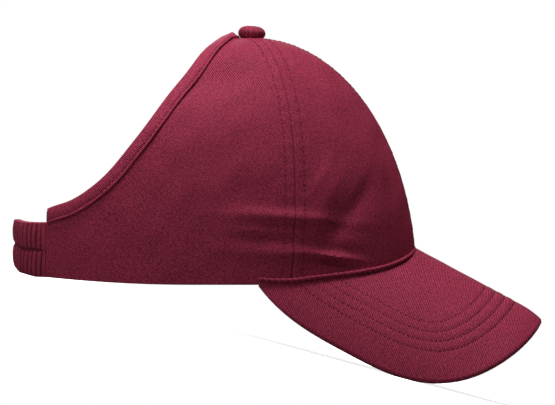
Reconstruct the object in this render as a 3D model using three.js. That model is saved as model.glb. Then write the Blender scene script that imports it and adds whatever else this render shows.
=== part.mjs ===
// Ponytail baseball cap in cotton twill: four crown panels and a covered button, a big bound
// opening at the back over a gathered elastic band, and an arched peak with a welt at its seam.
// Millimetres, +X towards the peak, +Z up. The cap is modelled level in its own frame, then
// turned to the pose in which it rests by itself, on the band and the two low sides of the peak.

import * as THREE from 'three';

// Crown: an oval hem and a domed wall that closes at the apex
const HALF_LENGTH = 101.5;
const HALF_WIDTH = 80;
const CROWN_HEIGHT = 123;
const APEX_FORWARD = 19;
const SEAM_ANGLE = 62.3; // degrees round from the front to the seam of front and side panel
const SEAM_BOW = 3; // degrees by which that seam bows forward at half its height
const CLOTH = 1.2;
const GAP = 0.3;
const HEM_RISE = 3.6; // how far the hem climbs towards the back
const GORE_DEPTH = 4.6; // how far a panel lies inside the seams' round, near the apex
const FOLD_DEPTH = 1.5;
const COLLAR_LIFT = 2.2; // cloth that stands up behind the button
const COLLAR_SPREAD = 8;

// Button on the apex
const BUTTON_DIAMETER = 13.6;
const BUTTON_HEIGHT = 5.6;
const SHANK_DIAMETER = 6.4;
const CLINCH_DIAMETER = 12;
const CLINCH_THICKNESS = 1;

// Folded tape that binds the edge of the opening
const TAPE = 0.8;
const TAPE_WIDTH = 7;
const TAPE_SHORT = 1.2; // its least width, where it passes behind the button
const TAPE_CLEARANCE = 0.55; // between the tape and the cloth edge inside its fold

// Elastic band behind the head
const BAND_REACH = 18.7; // how far the hem's oval runs behind the ends of the side panels
const BAND_INSET = 1.7; // of the band's middle from the back of the oval
const BAND_HEIGHT = 27;
const BAND_THICKNESS = 3;
const BAND_ARCH = 5.6; // how far its lower edge climbs at the middle of the back
const BAND_CREST = 1.6; // how far its upper edge climbs there
const CHANNEL_BULGE = 0.9;
const RIB_DEPTH = 0.9;
const RIB_PITCH = 4.5;
const BAND_PRESS = 0.6; // how far the cloth is pressed flat where it rests

// Peak: a flat pattern rolled over an arch
const PEAK_LENGTH = 73.6;
const PEAK_HALF_GIRTH = 110;
const PEAK_SLOPE = 28.2; // degrees down from level
const PEAK_SEAM_HEIGHT = 18.35; // of its top face over the level hem, in the middle of the front
const PEAK_SET_BACK = 0.9; // of that place behind the front of the oval, where the wall leans in
const PEAK_THICKNESS = 3.2;
const ARCH_MARGIN = 5; // how much larger the arch's radius is than the hem's half-width
const TIP_DROOP = 2;
const CORNER_WIDTH = 0.7; // of the peak where its edge runs into the hem
const CORNER_TAPER = 0.3; // share of the peak's thickness left there
const WELT_DIAMETER = 2.7;

// Exponents of the dome's upright section and of the hem's oval: larger is fuller
const FULLNESS = { front: 2.05, side: 2.5, back: 2.25 };
const SQUARENESS = { front: 2.7, back: 2.0 };
const GORE_SHARE = { hem: 0.2, apex: 1 }; // of the gore depth

// Outer edge of the peak's pattern: exponent, and places as shares of the peak's length
const EDGE = { power: 2.9, widest: -0.068, tail: 1.264, droop: 0.82 };

// Edge of the opening, from the middle of the top down to the band: degrees round from the
// front, and degrees up from the hem to the apex
const OPENING = [
  { around: 180.0, up: 85.6 },
  { around: 133.4, up: 78.9 },
  { around: 117.4, up: 69.3 },
  { around: 113.9, up: 56.4 },
  { around: 116.3, up: 46.8 },
  { around: 120.1, up: 38.4 },
  { around: 125.4, up: 31.5 },
  { around: 131.2, up: 25.6 },
  { around: 137.8, up: 21.5 },
  { around: 145.0, up: 18.8 },
];
const OPENING_END_UP = 16.9;

// Folds of the wall: middle, half length, half width and turn in degrees of the two angles,
// and the rise as a share of the fold depth
const FOLDS = [
  { around: 66, up: 16.5, long: 20, wide: 3.0, turn: 2, rise: 0.8 },
  { around: 70, up: 8.5, long: 15, wide: 2.6, turn: 3, rise: 0.6 },
  { around: 134, up: 11.0, long: 13, wide: 4.0, turn: -4, rise: 0.7 },
  { around: 47, up: 22.0, long: 10, wide: 3.2, turn: -42, rise: 0.7 },
  { around: 42, up: 16.0, long: 11, wide: 3.4, turn: -36, rise: -0.9 },
  { around: 47, up: 7.5, long: 9, wide: 2.2, turn: 8, rise: -0.8 },
  { around: 92, up: 42.0, long: 20, wide: 7.0, turn: -20, rise: 0.6 },
];
const FOLD_FREE = 5; // degrees over the peak's seam, which holds the cloth flat

// Section of the band: heights as shares of its height, outside and inside
const BAND_OUTSIDE = [0.03, 0.14, 0.26, 0.4, 0.5, 0.6, 0.74, 0.86, 0.97];
const BAND_INSIDE = [0.97, 0.5, 0.03];

// Section of the button over its seat, as shares of its radius and height
const BUTTON_FACE = [
  { out: 0.6, up: 0 },
  { out: 0.93, up: 0.2 },
  { out: 1, up: 0.42 },
  { out: 0.95, up: 0.65 },
  { out: 0.8, up: 0.82 },
  { out: 0.45, up: 0.96 },
  { out: 0, up: 1 },
];

// Cloth colour, and how finely the pieces are divided
const TWILL = 0x8a2e42;
const PANEL_ROWS = 16;
const FRONT_COLUMNS = 12;
const RING_COLUMNS = 3;
const RING_SHARE = 0.14; // of a side panel's columns that lie round and behind the button
const SIDE_COLUMNS = 20;
const RING_UP = 87; // degrees up at which the panels end, under the button
const PEAK_COLUMNS = 36;
const PEAK_ROWS = 7;
const WELT_SIDES = 8;
const BUTTON_SIDES = 20;
const RIB_COLUMNS = 4;
const HALVINGS = 40; // of a bisection

const degrees = THREE.MathUtils.degToRad;
const inDegrees = THREE.MathUtils.radToDeg;
const { lerp, clamp } = THREE.MathUtils;
const smooth = (value, low, high) => THREE.MathUtils.smoothstep(value, low, high);
const steps = (count) => Array.from({ length: count + 1 }, (_, at) => at / count);

// Value between two others at which a falling test turns from true to false
function bisect(low, high, isBelow) {
  let below = low;
  let above = high;
  for (let turn = 0; turn < HALVINGS; turn += 1) {
    const middle = (below + above) / 2;
    if (isBelow(middle)) below = middle;
    else above = middle;
  }
  return (below + above) / 2;
}

// Places on the crown lie on a disc: its rim is the level hem and its middle the apex
function discPlace(around, up) {
  const radius = 1 - up / 90;
  return new THREE.Vector2(radius * Math.cos(degrees(around)), radius * Math.sin(degrees(around)));
}

const upOf = (place) => 90 * (1 - place.length());

// Superellipse round the head, squarer towards the front
function hemOval(angle) {
  const ahead = Math.max(0, Math.cos(angle)) ** 4;
  const power = lerp(SQUARENESS.back, SQUARENESS.front, ahead);
  const along = Math.abs(Math.cos(angle)) / HALF_LENGTH;
  const across = Math.abs(Math.sin(angle)) / HALF_WIDTH;
  const radius = (along ** power + across ** power) ** (-1 / power);
  return new THREE.Vector2(radius * Math.cos(angle), radius * Math.sin(angle));
}

// The seam between front and side panel, in degrees round at each height
function seamAround(up) {
  return SEAM_ANGLE - SEAM_BOW * Math.sin(Math.PI * clamp(up / 90, 0, 1));
}

// How far up the peak's seam is, in degrees
function peakSeamUp(around) {
  const rim = hemOval(degrees(around));
  const height = clamp(peakHeight(rim.x, rim.y, 0) / CROWN_HEIGHT, 0, 1);
  return inDegrees(Math.asin(height));
}

// Soft ridges and valleys of the wall, each a bell along and across its own line
function foldRise(around, up) {
  let rise = 0;
  for (const fold of FOLDS) {
    const turn = degrees(fold.turn);
    const across = around - fold.around;
    const over = up - fold.up;
    const along = (across * Math.cos(turn) + over * Math.sin(turn)) / fold.long;
    const beside = (over * Math.cos(turn) - across * Math.sin(turn)) / fold.wide;
    rise += fold.rise * FOLD_DEPTH * Math.exp(-(along ** 2) - beside ** 2);
  }
  const held = peakSeamUp(around);
  return rise * smooth(up, held, held + FOLD_FREE);
}

// Plain dome: a superellipse section in each direction round the apex
function domeShares(place) {
  const angle = Math.atan2(place.y, place.x);
  const lift = (1 - place.length()) * Math.PI / 2;
  const facing = Math.cos(angle);
  const end = facing > 0 ? FULLNESS.front : FULLNESS.back;
  const power = lerp(FULLNESS.side, end, facing ** 2);
  const level = Math.cos(lift);
  const upright = Math.sin(lift);
  const scale = (level ** power + Math.abs(upright) ** power) ** (-1 / power);
  return { angle, reach: level * scale, height: upright * scale };
}

function domePoint({ angle, reach, height }) {
  const rim = hemOval(angle);
  const x = APEX_FORWARD + (rim.x - APEX_FORWARD) * reach;
  return new THREE.Vector3(x, rim.y * reach, CROWN_HEIGHT * height);
}

// Outward direction of the plain dome, from its slopes on the disc
function domeNormal(place) {
  const step = 0.002;
  const at = (x, y) => domePoint(domeShares(new THREE.Vector2(x, y)));
  const ahead = at(place.x + step, place.y).sub(at(place.x - step, place.y));
  const left = at(place.x, place.y + step).sub(at(place.x, place.y - step));
  return ahead.cross(left).normalize();
}

// The real wall: panels lie a little inside the seams' round, with folds and the collar
// behind the button. Depth is measured inwards from the outer face.
function wall(place, depth = 0) {
  const dome = domeShares(place);
  const around = inDegrees(Math.abs(dome.angle));
  const up = upOf(place);
  const seam = seamAround(up);
  const inPanel = around < seam ? around / seam : (around - seam) / (180 - seam);
  const climb = Math.max(0, up / 90) ** 1.5;
  const gore = GORE_DEPTH * lerp(GORE_SHARE.hem, GORE_SHARE.apex, climb);
  dome.reach *= 1 - gore * Math.abs(Math.sin(Math.PI * inPanel)) / HALF_WIDTH;
  const point = domePoint(dome);
  const behind = (APEX_FORWARD - BUTTON_DIAMETER / 2 - point.x) / COLLAR_SPREAD;
  const beside = point.y / COLLAR_SPREAD;
  const collar = Math.exp(-((behind - 0.4) ** 2 + beside ** 2) / 2) * smooth(behind, -0.06, 0.4);
  point.z += COLLAR_LIFT * collar;
  return point.addScaledVector(domeNormal(place), foldRise(around, up) - depth);
}

// Place at one angle round up to which a test of the wall's point holds
function climbWhile(around, test) {
  const up = bisect(-25, 89, (middle) => test(wall(discPlace(around, middle))));
  return discPlace(around, up);
}

// Peak: girth runs across the rolled pattern, and forward down its slope from the seam
const ARCH_RADIUS = HALF_WIDTH + ARCH_MARGIN;
const SLOPE = degrees(PEAK_SLOPE);
const PEAK_ROOT = HALF_LENGTH - PEAK_SET_BACK;

function archDrop(side, depth) {
  return Math.sqrt(Math.max(0, (ARCH_RADIUS - depth) ** 2 - side ** 2)) - ARCH_RADIUS;
}

function peakHeight(x, y, depth) {
  return PEAK_SEAM_HEIGHT - Math.tan(SLOPE) * (x - PEAK_ROOT) + archDrop(y, depth) / Math.cos(SLOPE);
}

function peakPoint(pattern, depth) {
  const roll = pattern.x / ARCH_RADIUS;
  const droopStart = EDGE.droop * PEAK_LENGTH;
  const droop = TIP_DROOP * Math.max(0, (pattern.y - droopStart) / (PEAK_LENGTH - droopStart)) ** 2;
  const rise = (ARCH_RADIUS - depth) * Math.cos(roll) - ARCH_RADIUS - droop;
  return new THREE.Vector3(
    PEAK_ROOT + pattern.y * Math.cos(SLOPE) + rise * Math.sin(SLOPE),
    (ARCH_RADIUS - depth) * Math.sin(roll),
    PEAK_SEAM_HEIGHT - pattern.y * Math.sin(SLOPE) + rise * Math.cos(SLOPE),
  );
}

// Place on the pattern of a point on the peak's face at that depth, before the droop
function peakPattern(point, depth) {
  const girth = ARCH_RADIUS * Math.asin(clamp(point.y / (ARCH_RADIUS - depth), -1, 1));
  const rise = archDrop(point.y, depth);
  return new THREE.Vector2(girth, (point.x - PEAK_ROOT - rise * Math.sin(SLOPE)) / Math.cos(SLOPE));
}

// Outer edge of the pattern by its turn from the tip: half a superellipse
function peakEdge(turn) {
  const widest = EDGE.widest * PEAK_LENGTH;
  const reach = Math.cos(turn) > 0 ? PEAK_LENGTH - widest : EDGE.tail * PEAK_LENGTH;
  const across = Math.abs(Math.sin(turn)) ** (2 / EDGE.power) * Math.sign(Math.sin(turn));
  const ahead = Math.abs(Math.cos(turn)) ** (2 / EDGE.power) * Math.sign(Math.cos(turn));
  return new THREE.Vector2(PEAK_HALF_GIRTH * across, widest + reach * ahead);
}

// The turn at which the edge has come back to the hem, and the angle round there
function findCorner() {
  const edgePoint = (turn) => peakPoint(peakEdge(turn), 0);
  const turn = bisect(Math.PI / 2, Math.PI, (middle) => {
    const point = edgePoint(middle);
    const rim = hemOval(Math.atan2(point.y, point.x)).length();
    return Math.hypot(point.x, point.y) - rim > CORNER_WIDTH + GAP;
  });
  const point = edgePoint(turn);
  return { turn, around: inDegrees(Math.atan2(point.y, point.x)) };
}
const CORNER = findCorner();

// Hem: level, rising to the back, and hidden behind the peak's root at the front
const BACK_END = -(HALF_LENGTH - BAND_REACH);
const HEM_LEVEL_END = -0.1 * HALF_LENGTH;

function hemHeight(point) {
  const behind = Math.max(0, (HEM_LEVEL_END - point.x) / (HEM_LEVEL_END - BACK_END));
  const corner = hemOval(degrees(CORNER.around)).x;
  const seam = hemOval(degrees(SEAM_ANGLE)).x;
  const root = peakHeight(point.x, point.y, 0) - 1.15 * PEAK_THICKNESS;
  return lerp(HEM_RISE * behind ** 2, root, smooth(point.x, corner, seam));
}

function hemPlace(around) {
  return climbWhile(around, (point) => point.z < hemHeight(point));
}

// Place at one height where the side panel is cut straight across at the band
function backCut(up) {
  const around = bisect(100, 179, (middle) => wall(discPlace(middle, up)).x > BACK_END);
  return discPlace(around, up);
}

// Closed body from rings of points: each ring goes out along one face and back along the
// other, so its two ends close as strips
function sweep(rings) {
  const count = rings[0].length;
  const position = rings.flat().flatMap((point) => point.toArray());
  const index = [];
  const quad = (a, b, c, d) => index.push(a, b, c, a, c, d);
  for (let row = 0; row + 1 < rings.length; row += 1) {
    for (let at = 0; at < count; at += 1) {
      const next = (at + 1) % count;
      const here = row * count;
      const there = here + count;
      quad(here + at, here + next, there + next, there + at);
    }
  }
  const last = (rings.length - 1) * count;
  for (let at = 0; at + 1 < count / 2; at += 1) {
    const facing = count - 1 - at;
    quad(at, facing, facing - 1, at + 1);
    quad(last + at, last + at + 1, last + facing - 1, last + facing);
  }
  const geometry = new THREE.BufferGeometry();
  geometry.setAttribute('position', new THREE.Float32BufferAttribute(position, 3));
  geometry.setIndex(index);
  return facesOut(geometry);
}

// Turns every face over when the body's signed volume is negative
function facesOut(geometry) {
  const position = geometry.getAttribute('position');
  const index = geometry.getIndex().array;
  const corner = [0, 1, 2].map(() => new THREE.Vector3());
  let volume = 0;
  for (let at = 0; at < index.length; at += 3) {
    corner.forEach((point, which) => point.fromBufferAttribute(position, index[at + which]));
    volume += corner[0].dot(corner[1].clone().cross(corner[2]));
  }
  if (volume < 0) {
    for (let at = 0; at < index.length; at += 3) {
      [index[at], index[at + 1]] = [index[at + 1], index[at]];
    }
  }
  return geometry;
}

// Rows of a panel, closer together near the hem and near the upper border
const panelRows = steps(PANEL_ROWS)
  .map((share) => lerp(share, (1 - Math.cos(Math.PI * share)) / 2, 0.55));

// One panel as a shell: place(across, rise) gives its places on the disc, 0 to 1 both ways
function panelShell(place, columns) {
  return sweep(columns.map((across) => {
    const places = panelRows.map((rise) => place(across, rise));
    const outer = places.map((spot) => wall(spot, 0));
    const inner = places.map((spot) => wall(spot, CLOTH)).reverse();
    return [...outer, ...inner];
  }));
}

// Half a seam's gap, as degrees round the apex at a place on the disc
function seamHalfGap(place) {
  const point = wall(place);
  return inDegrees(GAP / 2 / Math.hypot(point.x - APEX_FORWARD, point.y));
}

function frontPanel(side) {
  const place = (across, rise) => {
    const hem = hemPlace(lerp(0, SEAM_ANGLE, across));
    const up = lerp(upOf(hem), RING_UP, rise);
    const gap = seamHalfGap(discPlace(seamAround(up) * across, up));
    const spot = discPlace(lerp(gap, seamAround(up) - gap, across), up);
    return new THREE.Vector2(spot.x, side * spot.y);
  };
  return panelShell(place, steps(FRONT_COLUMNS));
}

// Edge of the opening as one smooth loop on the disc, from its right end to its left end
function openingLoop() {
  const [top, ...rows] = OPENING.map((row) => discPlace(row.around, row.up));
  const left = [...rows, backCut(OPENING_END_UP)];
  const right = left.map((spot) => new THREE.Vector2(spot.x, -spot.y)).reverse();
  const points = [...right, top, ...left].map((spot) => new THREE.Vector3(spot.x, spot.y, 0));
  return new THREE.CatmullRomCurve3(points, false, 'catmullrom', 0.5);
}
const LOOP = openingLoop();

// Place on the loop: 0 is the middle of the top, -1 and 1 its ends at the band
function openingPlace(along) {
  const point = LOOP.getPoint((1 + along) / 2);
  return new THREE.Vector2(point.x, point.y);
}

// Stations along half the opening's edge, closer near the tight bend at its top
const openingSteps = steps(SIDE_COLUMNS).map((share) => share ** 1.3);

// Side panel: a patch between the hem, the front seam, the cut at the band, and an upper
// border that goes round the button, down a short seam behind it and along the opening
function sidePanel(side) {
  const lowEnd = upOf(climbWhile(150, (point) => point.z < hemHeight(point)));
  const lastAround = inDegrees(backCut(lowEnd).angle());
  const fan = (across) => (across < RING_SHARE ? 0.9 * across : lerp(0.9 * RING_SHARE, 1, (across - RING_SHARE) / (1 - RING_SHARE)));
  const hem = (across) => (across < 1
    ? hemPlace(lerp(SEAM_ANGLE, lastAround, fan(across)))
    : backCut(lowEnd));
  const upper = (across) => (across < RING_SHARE
    ? discPlace(lerp(seamAround(RING_UP), 178, across / RING_SHARE), RING_UP)
    : openingPlace((across - RING_SHARE) / (1 - RING_SHARE)));
  const front = (rise) => {
    const up = lerp(upOf(hem(0)), RING_UP, rise);
    return discPlace(seamAround(up), up);
  };
  const back = (rise) => backCut(lerp(lowEnd, OPENING_END_UP, rise));
  const place = (across, rise) => {
    const spot = hem(across).multiplyScalar(1 - rise)
      .addScaledVector(upper(across), rise)
      .addScaledVector(front(rise), 1 - across)
      .addScaledVector(back(rise), across)
      .addScaledVector(hem(0), -(1 - across) * (1 - rise))
      .addScaledVector(hem(1), -across * (1 - rise))
      .addScaledVector(upper(0), -(1 - across) * rise)
      .addScaledVector(upper(1), -across * rise);
    const up = upOf(spot);
    const clear = across > 0 ? spot : discPlace(seamAround(up) + seamHalfGap(spot), up);
    const middle = GAP / (Math.PI * HALF_WIDTH);
    return new THREE.Vector2(clear.x, side * Math.max(clear.y, middle));
  };
  const columns = [
    ...steps(RING_COLUMNS).slice(0, -1).map((share) => share * RING_SHARE),
    ...openingSteps.map((along) => lerp(RING_SHARE, 1, along)),
  ];
  return panelShell(place, columns);
}

// One station of the opening's edge: its point and directions in space, and the step on the
// disc that goes one millimetre out over the opening
function openingFrame(along) {
  const spot = openingPlace(along);
  const edge = wall(spot);
  const normal = domeNormal(spot);
  const ends = [-0.004, 0.004].map((step) => wall(openingPlace(clamp(along + step, -1, 1))));
  const tangent = ends[1].sub(ends[0]).normalize();
  const outward = normal.clone().cross(tangent).normalize();
  const small = 0.003;
  const ahead = wall(new THREE.Vector2(spot.x + small, spot.y)).sub(edge).divideScalar(small);
  const left = wall(new THREE.Vector2(spot.x, spot.y + small)).sub(edge).divideScalar(small);
  const [aa, ab, bb] = [ahead.dot(ahead), ahead.dot(left), left.dot(left)];
  const [outAhead, outLeft] = [ahead.dot(outward), left.dot(outward)];
  const onDisc = new THREE.Vector2(outAhead * bb - outLeft * ab, outLeft * aa - outAhead * ab)
    .divideScalar(aa * bb - ab ** 2);
  return { spot, edge, normal, outward, onDisc };
}

// Tape width at a station: full, but cut short where the tape passes behind the button
function tapeWidth(edge) {
  const room = APEX_FORWARD - BUTTON_DIAMETER / 2 - edge.x;
  const short = clamp(0.6 * room, TAPE_SHORT, TAPE_WIDTH);
  const beside = Math.abs(edge.y) / BUTTON_DIAMETER;
  return lerp(short, TAPE_WIDTH, smooth(beside, 0.4, 1.3));
}

function openingBinding() {
  const legs = [1, 0.5, 0];
  const right = openingSteps.slice(1).reverse().map((along) => -along);
  const out = TAPE_CLEARANCE + TAPE;
  const under = CLOTH + TAPE_CLEARANCE;
  return sweep([...right, ...openingSteps].map((along) => {
    const frame = openingFrame(along);
    const width = tapeWidth(frame.edge);
    const leg = (depth) => legs.map((part) => {
      const spot = frame.spot.clone().addScaledVector(frame.onDisc, -part * width);
      return wall(spot, depth);
    });
    const fold = (reach, depth) => frame.edge.clone()
      .addScaledVector(frame.outward, reach)
      .addScaledVector(frame.normal, -depth);
    return [
      ...leg(-out), fold(0.7 * out, 0), fold(out, CLOTH / 2), fold(0.7 * out, CLOTH),
      ...leg(under + TAPE).reverse(), ...leg(under),
      fold(TAPE_CLEARANCE, CLOTH + 0.8 * TAPE_CLEARANCE), fold(TAPE_CLEARANCE, CLOTH / 2),
      fold(TAPE_CLEARANCE, -0.8 * TAPE_CLEARANCE), ...leg(-TAPE_CLEARANCE).reverse(),
    ];
  }));
}

// Elastic band: its plan is an arc of an ellipse from one side panel's end to the other, and
// it bulges in two channels with ribs
function backElastic() {
  const half = HALF_LENGTH - BAND_INSET;
  const turnEnd = Math.acos((GAP - BACK_END) / half);
  const girth = 1.7 * turnEnd * half;
  const ribs = Math.round(girth / RIB_PITCH);
  const columns = steps(ribs * RIB_COLUMNS);
  return sweep(columns.map((share) => {
    const way = lerp(-1, 1, share);
    const near = Math.exp(-((way / 0.42) ** 2));
    const low = HEM_RISE + BAND_ARCH * near;
    const high = HEM_RISE + BAND_HEIGHT + BAND_CREST * near;
    const fade = smooth(1 - Math.abs(way), 0, 0.08);
    const point = (rise, depth) => {
      const height = lerp(low, high, rise);
      const up = upOf(climbWhile(150, (spot) => spot.z < height));
      const across = Math.abs(wall(backCut(up)).y) / Math.sin(turnEnd);
      const channel = CHANNEL_BULGE * (Math.abs(Math.sin(2 * Math.PI * rise)) - 0.35);
      const slant = 0.35 * Math.abs(rise - 0.5);
      const gather = RIB_DEPTH * (Math.cos(2 * Math.PI * (ribs * share + slant)) - 1) / 2;
      const out = (channel + gather) * fade * (depth > 0 ? 0.35 : 1) - depth;
      return new THREE.Vector3(
        -(half + out * (1 - way ** 6)) * Math.cos(way * turnEnd),
        (across + out) * Math.sin(way * turnEnd),
        height,
      );
    };
    return [
      ...BAND_OUTSIDE.map((rise) => point(rise, 0)),
      point(1, 0.3 * BAND_THICKNESS), point(1, 0.7 * BAND_THICKNESS),
      ...BAND_INSIDE.map((rise) => point(rise, BAND_THICKNESS)),
      point(0, 0.8 * BAND_THICKNESS), point(0, 0.2 * BAND_THICKNESS),
    ];
  }));
}

// Root of the peak at one angle round: just outside the wall, on its face at that depth
function peakRoot(around, depth) {
  const spot = climbWhile(around, (point) => point.z < peakHeight(point.x, point.y, depth));
  return peakPattern(wall(spot, -GAP), depth);
}

function peak() {
  const rim = [60, 20, -20, -60].map(degrees);
  return sweep(steps(PEAK_COLUMNS).map((share) => {
    const way = lerp(-1, 1, share);
    const turn = way * CORNER.turn;
    const edge = peakEdge(turn);
    const along = peakEdge(turn + 0.003).sub(peakEdge(turn - 0.003)).normalize();
    const inward = new THREE.Vector2(-along.y, along.x);
    if (inward.dot(edge) > 0) inward.negate();
    const thickness = PEAK_THICKNESS * lerp(CORNER_TAPER, 1, smooth(1 - Math.abs(way), 0, 0.2));
    const [rootTop, rootUnder] = [0, thickness].map((depth) => peakRoot(way * CORNER.around, depth));
    const round = Math.min(thickness / 2, 0.3 * edge.distanceTo(rootTop));
    const last = edge.clone().addScaledVector(inward, round);
    const face = (root, depth) => steps(PEAK_ROWS)
      .map((part) => peakPoint(root.clone().lerp(last, part), depth));
    const edgeRound = rim.map((lean) => {
      const spot = edge.clone().addScaledVector(inward, round * (1 - Math.cos(lean)));
      return peakPoint(spot, thickness * (1 - Math.sin(lean)) / 2);
    });
    return [...face(rootTop, 0), ...edgeRound, ...face(rootUnder, thickness).reverse()];
  }));
}

// Welt: a roll lying in the corner between the wall and the peak's top face
function peakWelt() {
  const radius = WELT_DIAMETER / 2;
  const end = CORNER.around - 1.5;
  const centre = (around) => {
    const spot = climbWhile(around, (point) => point.z < peakHeight(point.x, point.y, 0));
    const corner = wall(spot);
    const out = domeNormal(spot);
    const roll = Math.asin(clamp(corner.y / ARCH_RADIUS, -1, 1));
    const tilted = Math.cos(roll);
    const up = new THREE.Vector3(tilted * Math.sin(SLOPE), Math.sin(roll), tilted * Math.cos(SLOPE));
    const shift = out.clone().add(up).multiplyScalar((radius + GAP) / (1 + out.dot(up)));
    return { middle: corner.add(shift), out };
  };
  return sweep(steps(PEAK_COLUMNS).map((share) => {
    const around = lerp(-end, end, share);
    const { middle, out } = centre(around);
    const tangent = centre(around + 0.5).middle.sub(centre(around - 0.5).middle).normalize();
    const side = out.clone().addScaledVector(tangent, -out.dot(tangent)).normalize();
    const top = tangent.clone().cross(side);
    const size = radius * smooth(Math.min(share, 1 - share), -0.02, 0.02);
    return steps(WELT_SIDES).slice(0, -1).map((part) => middle.clone()
      .addScaledVector(side, size * Math.cos(2 * Math.PI * part))
      .addScaledVector(top, size * Math.sin(2 * Math.PI * part)));
  }));
}

// Button: a covered lens whose shank passes the panels' tips and is clinched under them
function topButton() {
  const radius = BUTTON_DIAMETER / 2;
  const shank = SHANK_DIAMETER / 2;
  const clinch = CLINCH_DIAMETER / 2;
  const top = -(CLOTH + 2 * GAP);
  const bottom = top - CLINCH_THICKNESS;
  const profile = [
    [0, bottom], [0.8 * clinch, bottom], [clinch, (top + bottom) / 2], [0.8 * clinch, top],
    [shank, top], [shank, GAP],
    ...BUTTON_FACE.map(({ out, up }) => [out * radius, GAP + up * BUTTON_HEIGHT]),
  ].map(([out, up]) => new THREE.Vector2(out, up));
  const seat = wall(discPlace(0, RING_UP)).z + GAP;
  return new THREE.LatheGeometry(profile, BUTTON_SIDES)
    .rotateX(Math.PI / 2)
    .translate(APEX_FORWARD, 0, seat);
}

function piece(name, geometry, roughness = 0.85) {
  const material = new THREE.MeshStandardMaterial({ color: TWILL, roughness, metalness: 0 });
  const mesh = new THREE.Mesh(geometry, material);
  mesh.name = name;
  return mesh;
}

const band = piece('back_elastic', backElastic(), 0.9);
const peakPiece = piece('peak', peak());
const pieces = [
  piece('front_panel_left', frontPanel(1)),
  piece('front_panel_right', frontPanel(-1)),
  piece('side_panel_left', sidePanel(1)),
  piece('side_panel_right', sidePanel(-1)),
  piece('top_button', topButton(), 0.75),
  piece('opening_binding', openingBinding(), 0.8),
  band,
  peakPiece,
  piece('peak_welt', peakWelt()),
];

// Lowest point of a piece once the cap is turned nose up by an angle
function lowest(mesh, tilt) {
  const position = mesh.geometry.getAttribute('position');
  let low = Infinity;
  for (let at = 0; at < position.count; at += 1) {
    low = Math.min(low, position.getX(at) * Math.sin(tilt) + position.getZ(at) * Math.cos(tilt));
  }
  return low;
}

// The cap rests where the peak and the pressed band touch the same level surface
const restTilt = bisect(0, Math.PI / 4, (tilt) => lowest(peakPiece, tilt) < lowest(band, tilt) + BAND_PRESS);
const floor = lowest(peakPiece, restTilt);
const box = new THREE.Box3();
for (const mesh of pieces) {
  mesh.geometry.rotateY(-restTilt);
  mesh.geometry.computeBoundingBox();
  box.union(mesh.geometry.boundingBox);
}
const middle = box.getCenter(new THREE.Vector3());
for (const mesh of pieces) {
  mesh.geometry.translate(-middle.x, 0, -floor);
}

// The band's cloth is pressed flat against the surface
const bandPosition = band.geometry.getAttribute('position');
for (let at = 0; at < bandPosition.count; at += 1) {
  bandPosition.setZ(at, Math.max(0, bandPosition.getZ(at)));
}

const cap = new THREE.Group();
cap.add(...pieces);

export default cap;
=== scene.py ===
# %% [markdown]
# # A ponytail baseball cap in burgundy twill
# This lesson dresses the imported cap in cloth. Every piece is a surface worked out with numpy
# from the same few sizes that the solids have, so the fine cloth lies exactly over them.
# The frame file gives the solids, their names and their place, and nothing else is read.

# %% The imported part
import math
import bpy
import numpy as np
from mathutils import Matrix, Vector


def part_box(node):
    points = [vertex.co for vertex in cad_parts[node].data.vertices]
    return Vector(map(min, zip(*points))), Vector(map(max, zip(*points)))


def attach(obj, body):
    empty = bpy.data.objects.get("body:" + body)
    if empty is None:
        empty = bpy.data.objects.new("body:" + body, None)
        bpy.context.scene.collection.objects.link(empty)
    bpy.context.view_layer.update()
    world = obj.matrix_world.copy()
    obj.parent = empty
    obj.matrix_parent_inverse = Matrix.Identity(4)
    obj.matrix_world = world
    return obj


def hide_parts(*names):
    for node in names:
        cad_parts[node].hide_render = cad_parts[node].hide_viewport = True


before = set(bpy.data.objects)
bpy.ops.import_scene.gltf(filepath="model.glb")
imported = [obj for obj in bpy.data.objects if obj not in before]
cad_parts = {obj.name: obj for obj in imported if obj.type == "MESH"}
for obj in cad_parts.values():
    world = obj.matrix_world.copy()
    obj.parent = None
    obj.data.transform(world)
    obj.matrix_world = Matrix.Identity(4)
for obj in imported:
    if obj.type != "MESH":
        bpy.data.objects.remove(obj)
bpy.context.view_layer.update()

# %% [markdown]
# ## Sizes
# All sizes are millimetres in the cap's own level frame: X towards the peak, Y to the
# wearer's left, Z up from the hem. The crown is an oval dome, and the tables below say where
# its seams, its opening and its folds lie in two angles: degrees round from the front, and
# degrees up from the hem to the apex.

# %% Sizes of the crown
HALF_LENGTH, HALF_WIDTH, CROWN_HEIGHT, APEX_FORWARD = 101.5, 80.0, 123.0, 19.0
SEAM_ANGLE, SEAM_BOW = 62.3, 3.0
CLOTH, GAP, HEM_RISE = 1.2, 0.3, 3.6
# how far a panel lies inside the seams' round, and its shares at the hem and at the apex
GORE_DEPTH, GORE_HEM, GORE_APEX = 4.6, 0.2, 1.0
# height of a fold of share 1, and the degrees over which folds fade in above the peak
FOLD_DEPTH, FOLD_FREE = 1.5, 5.0
# the collar behind the button, and its middle and start there in shares of its spread
COLLAR_LIFT, COLLAR_SPREAD, COLLAR_MIDDLE, COLLAR_START = 2.2, 8.0, 0.4, -0.06
# exponents of the dome's upright section and of the hem's oval: larger is fuller
FULL_FRONT, FULL_SIDE, FULL_BACK = 2.05, 2.5, 2.25
SQUARE_FRONT, SQUARE_BACK = 2.7, 2.0
# degrees up of the ring round the button, and its share of a side panel's upper border
RING_UP, RING_SHARE = 87.0, 0.14
# degrees up between which the wall is searched, from below the level hem to near the apex
LOWEST_UP, HIGHEST_UP = -25.0, 89.0

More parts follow.
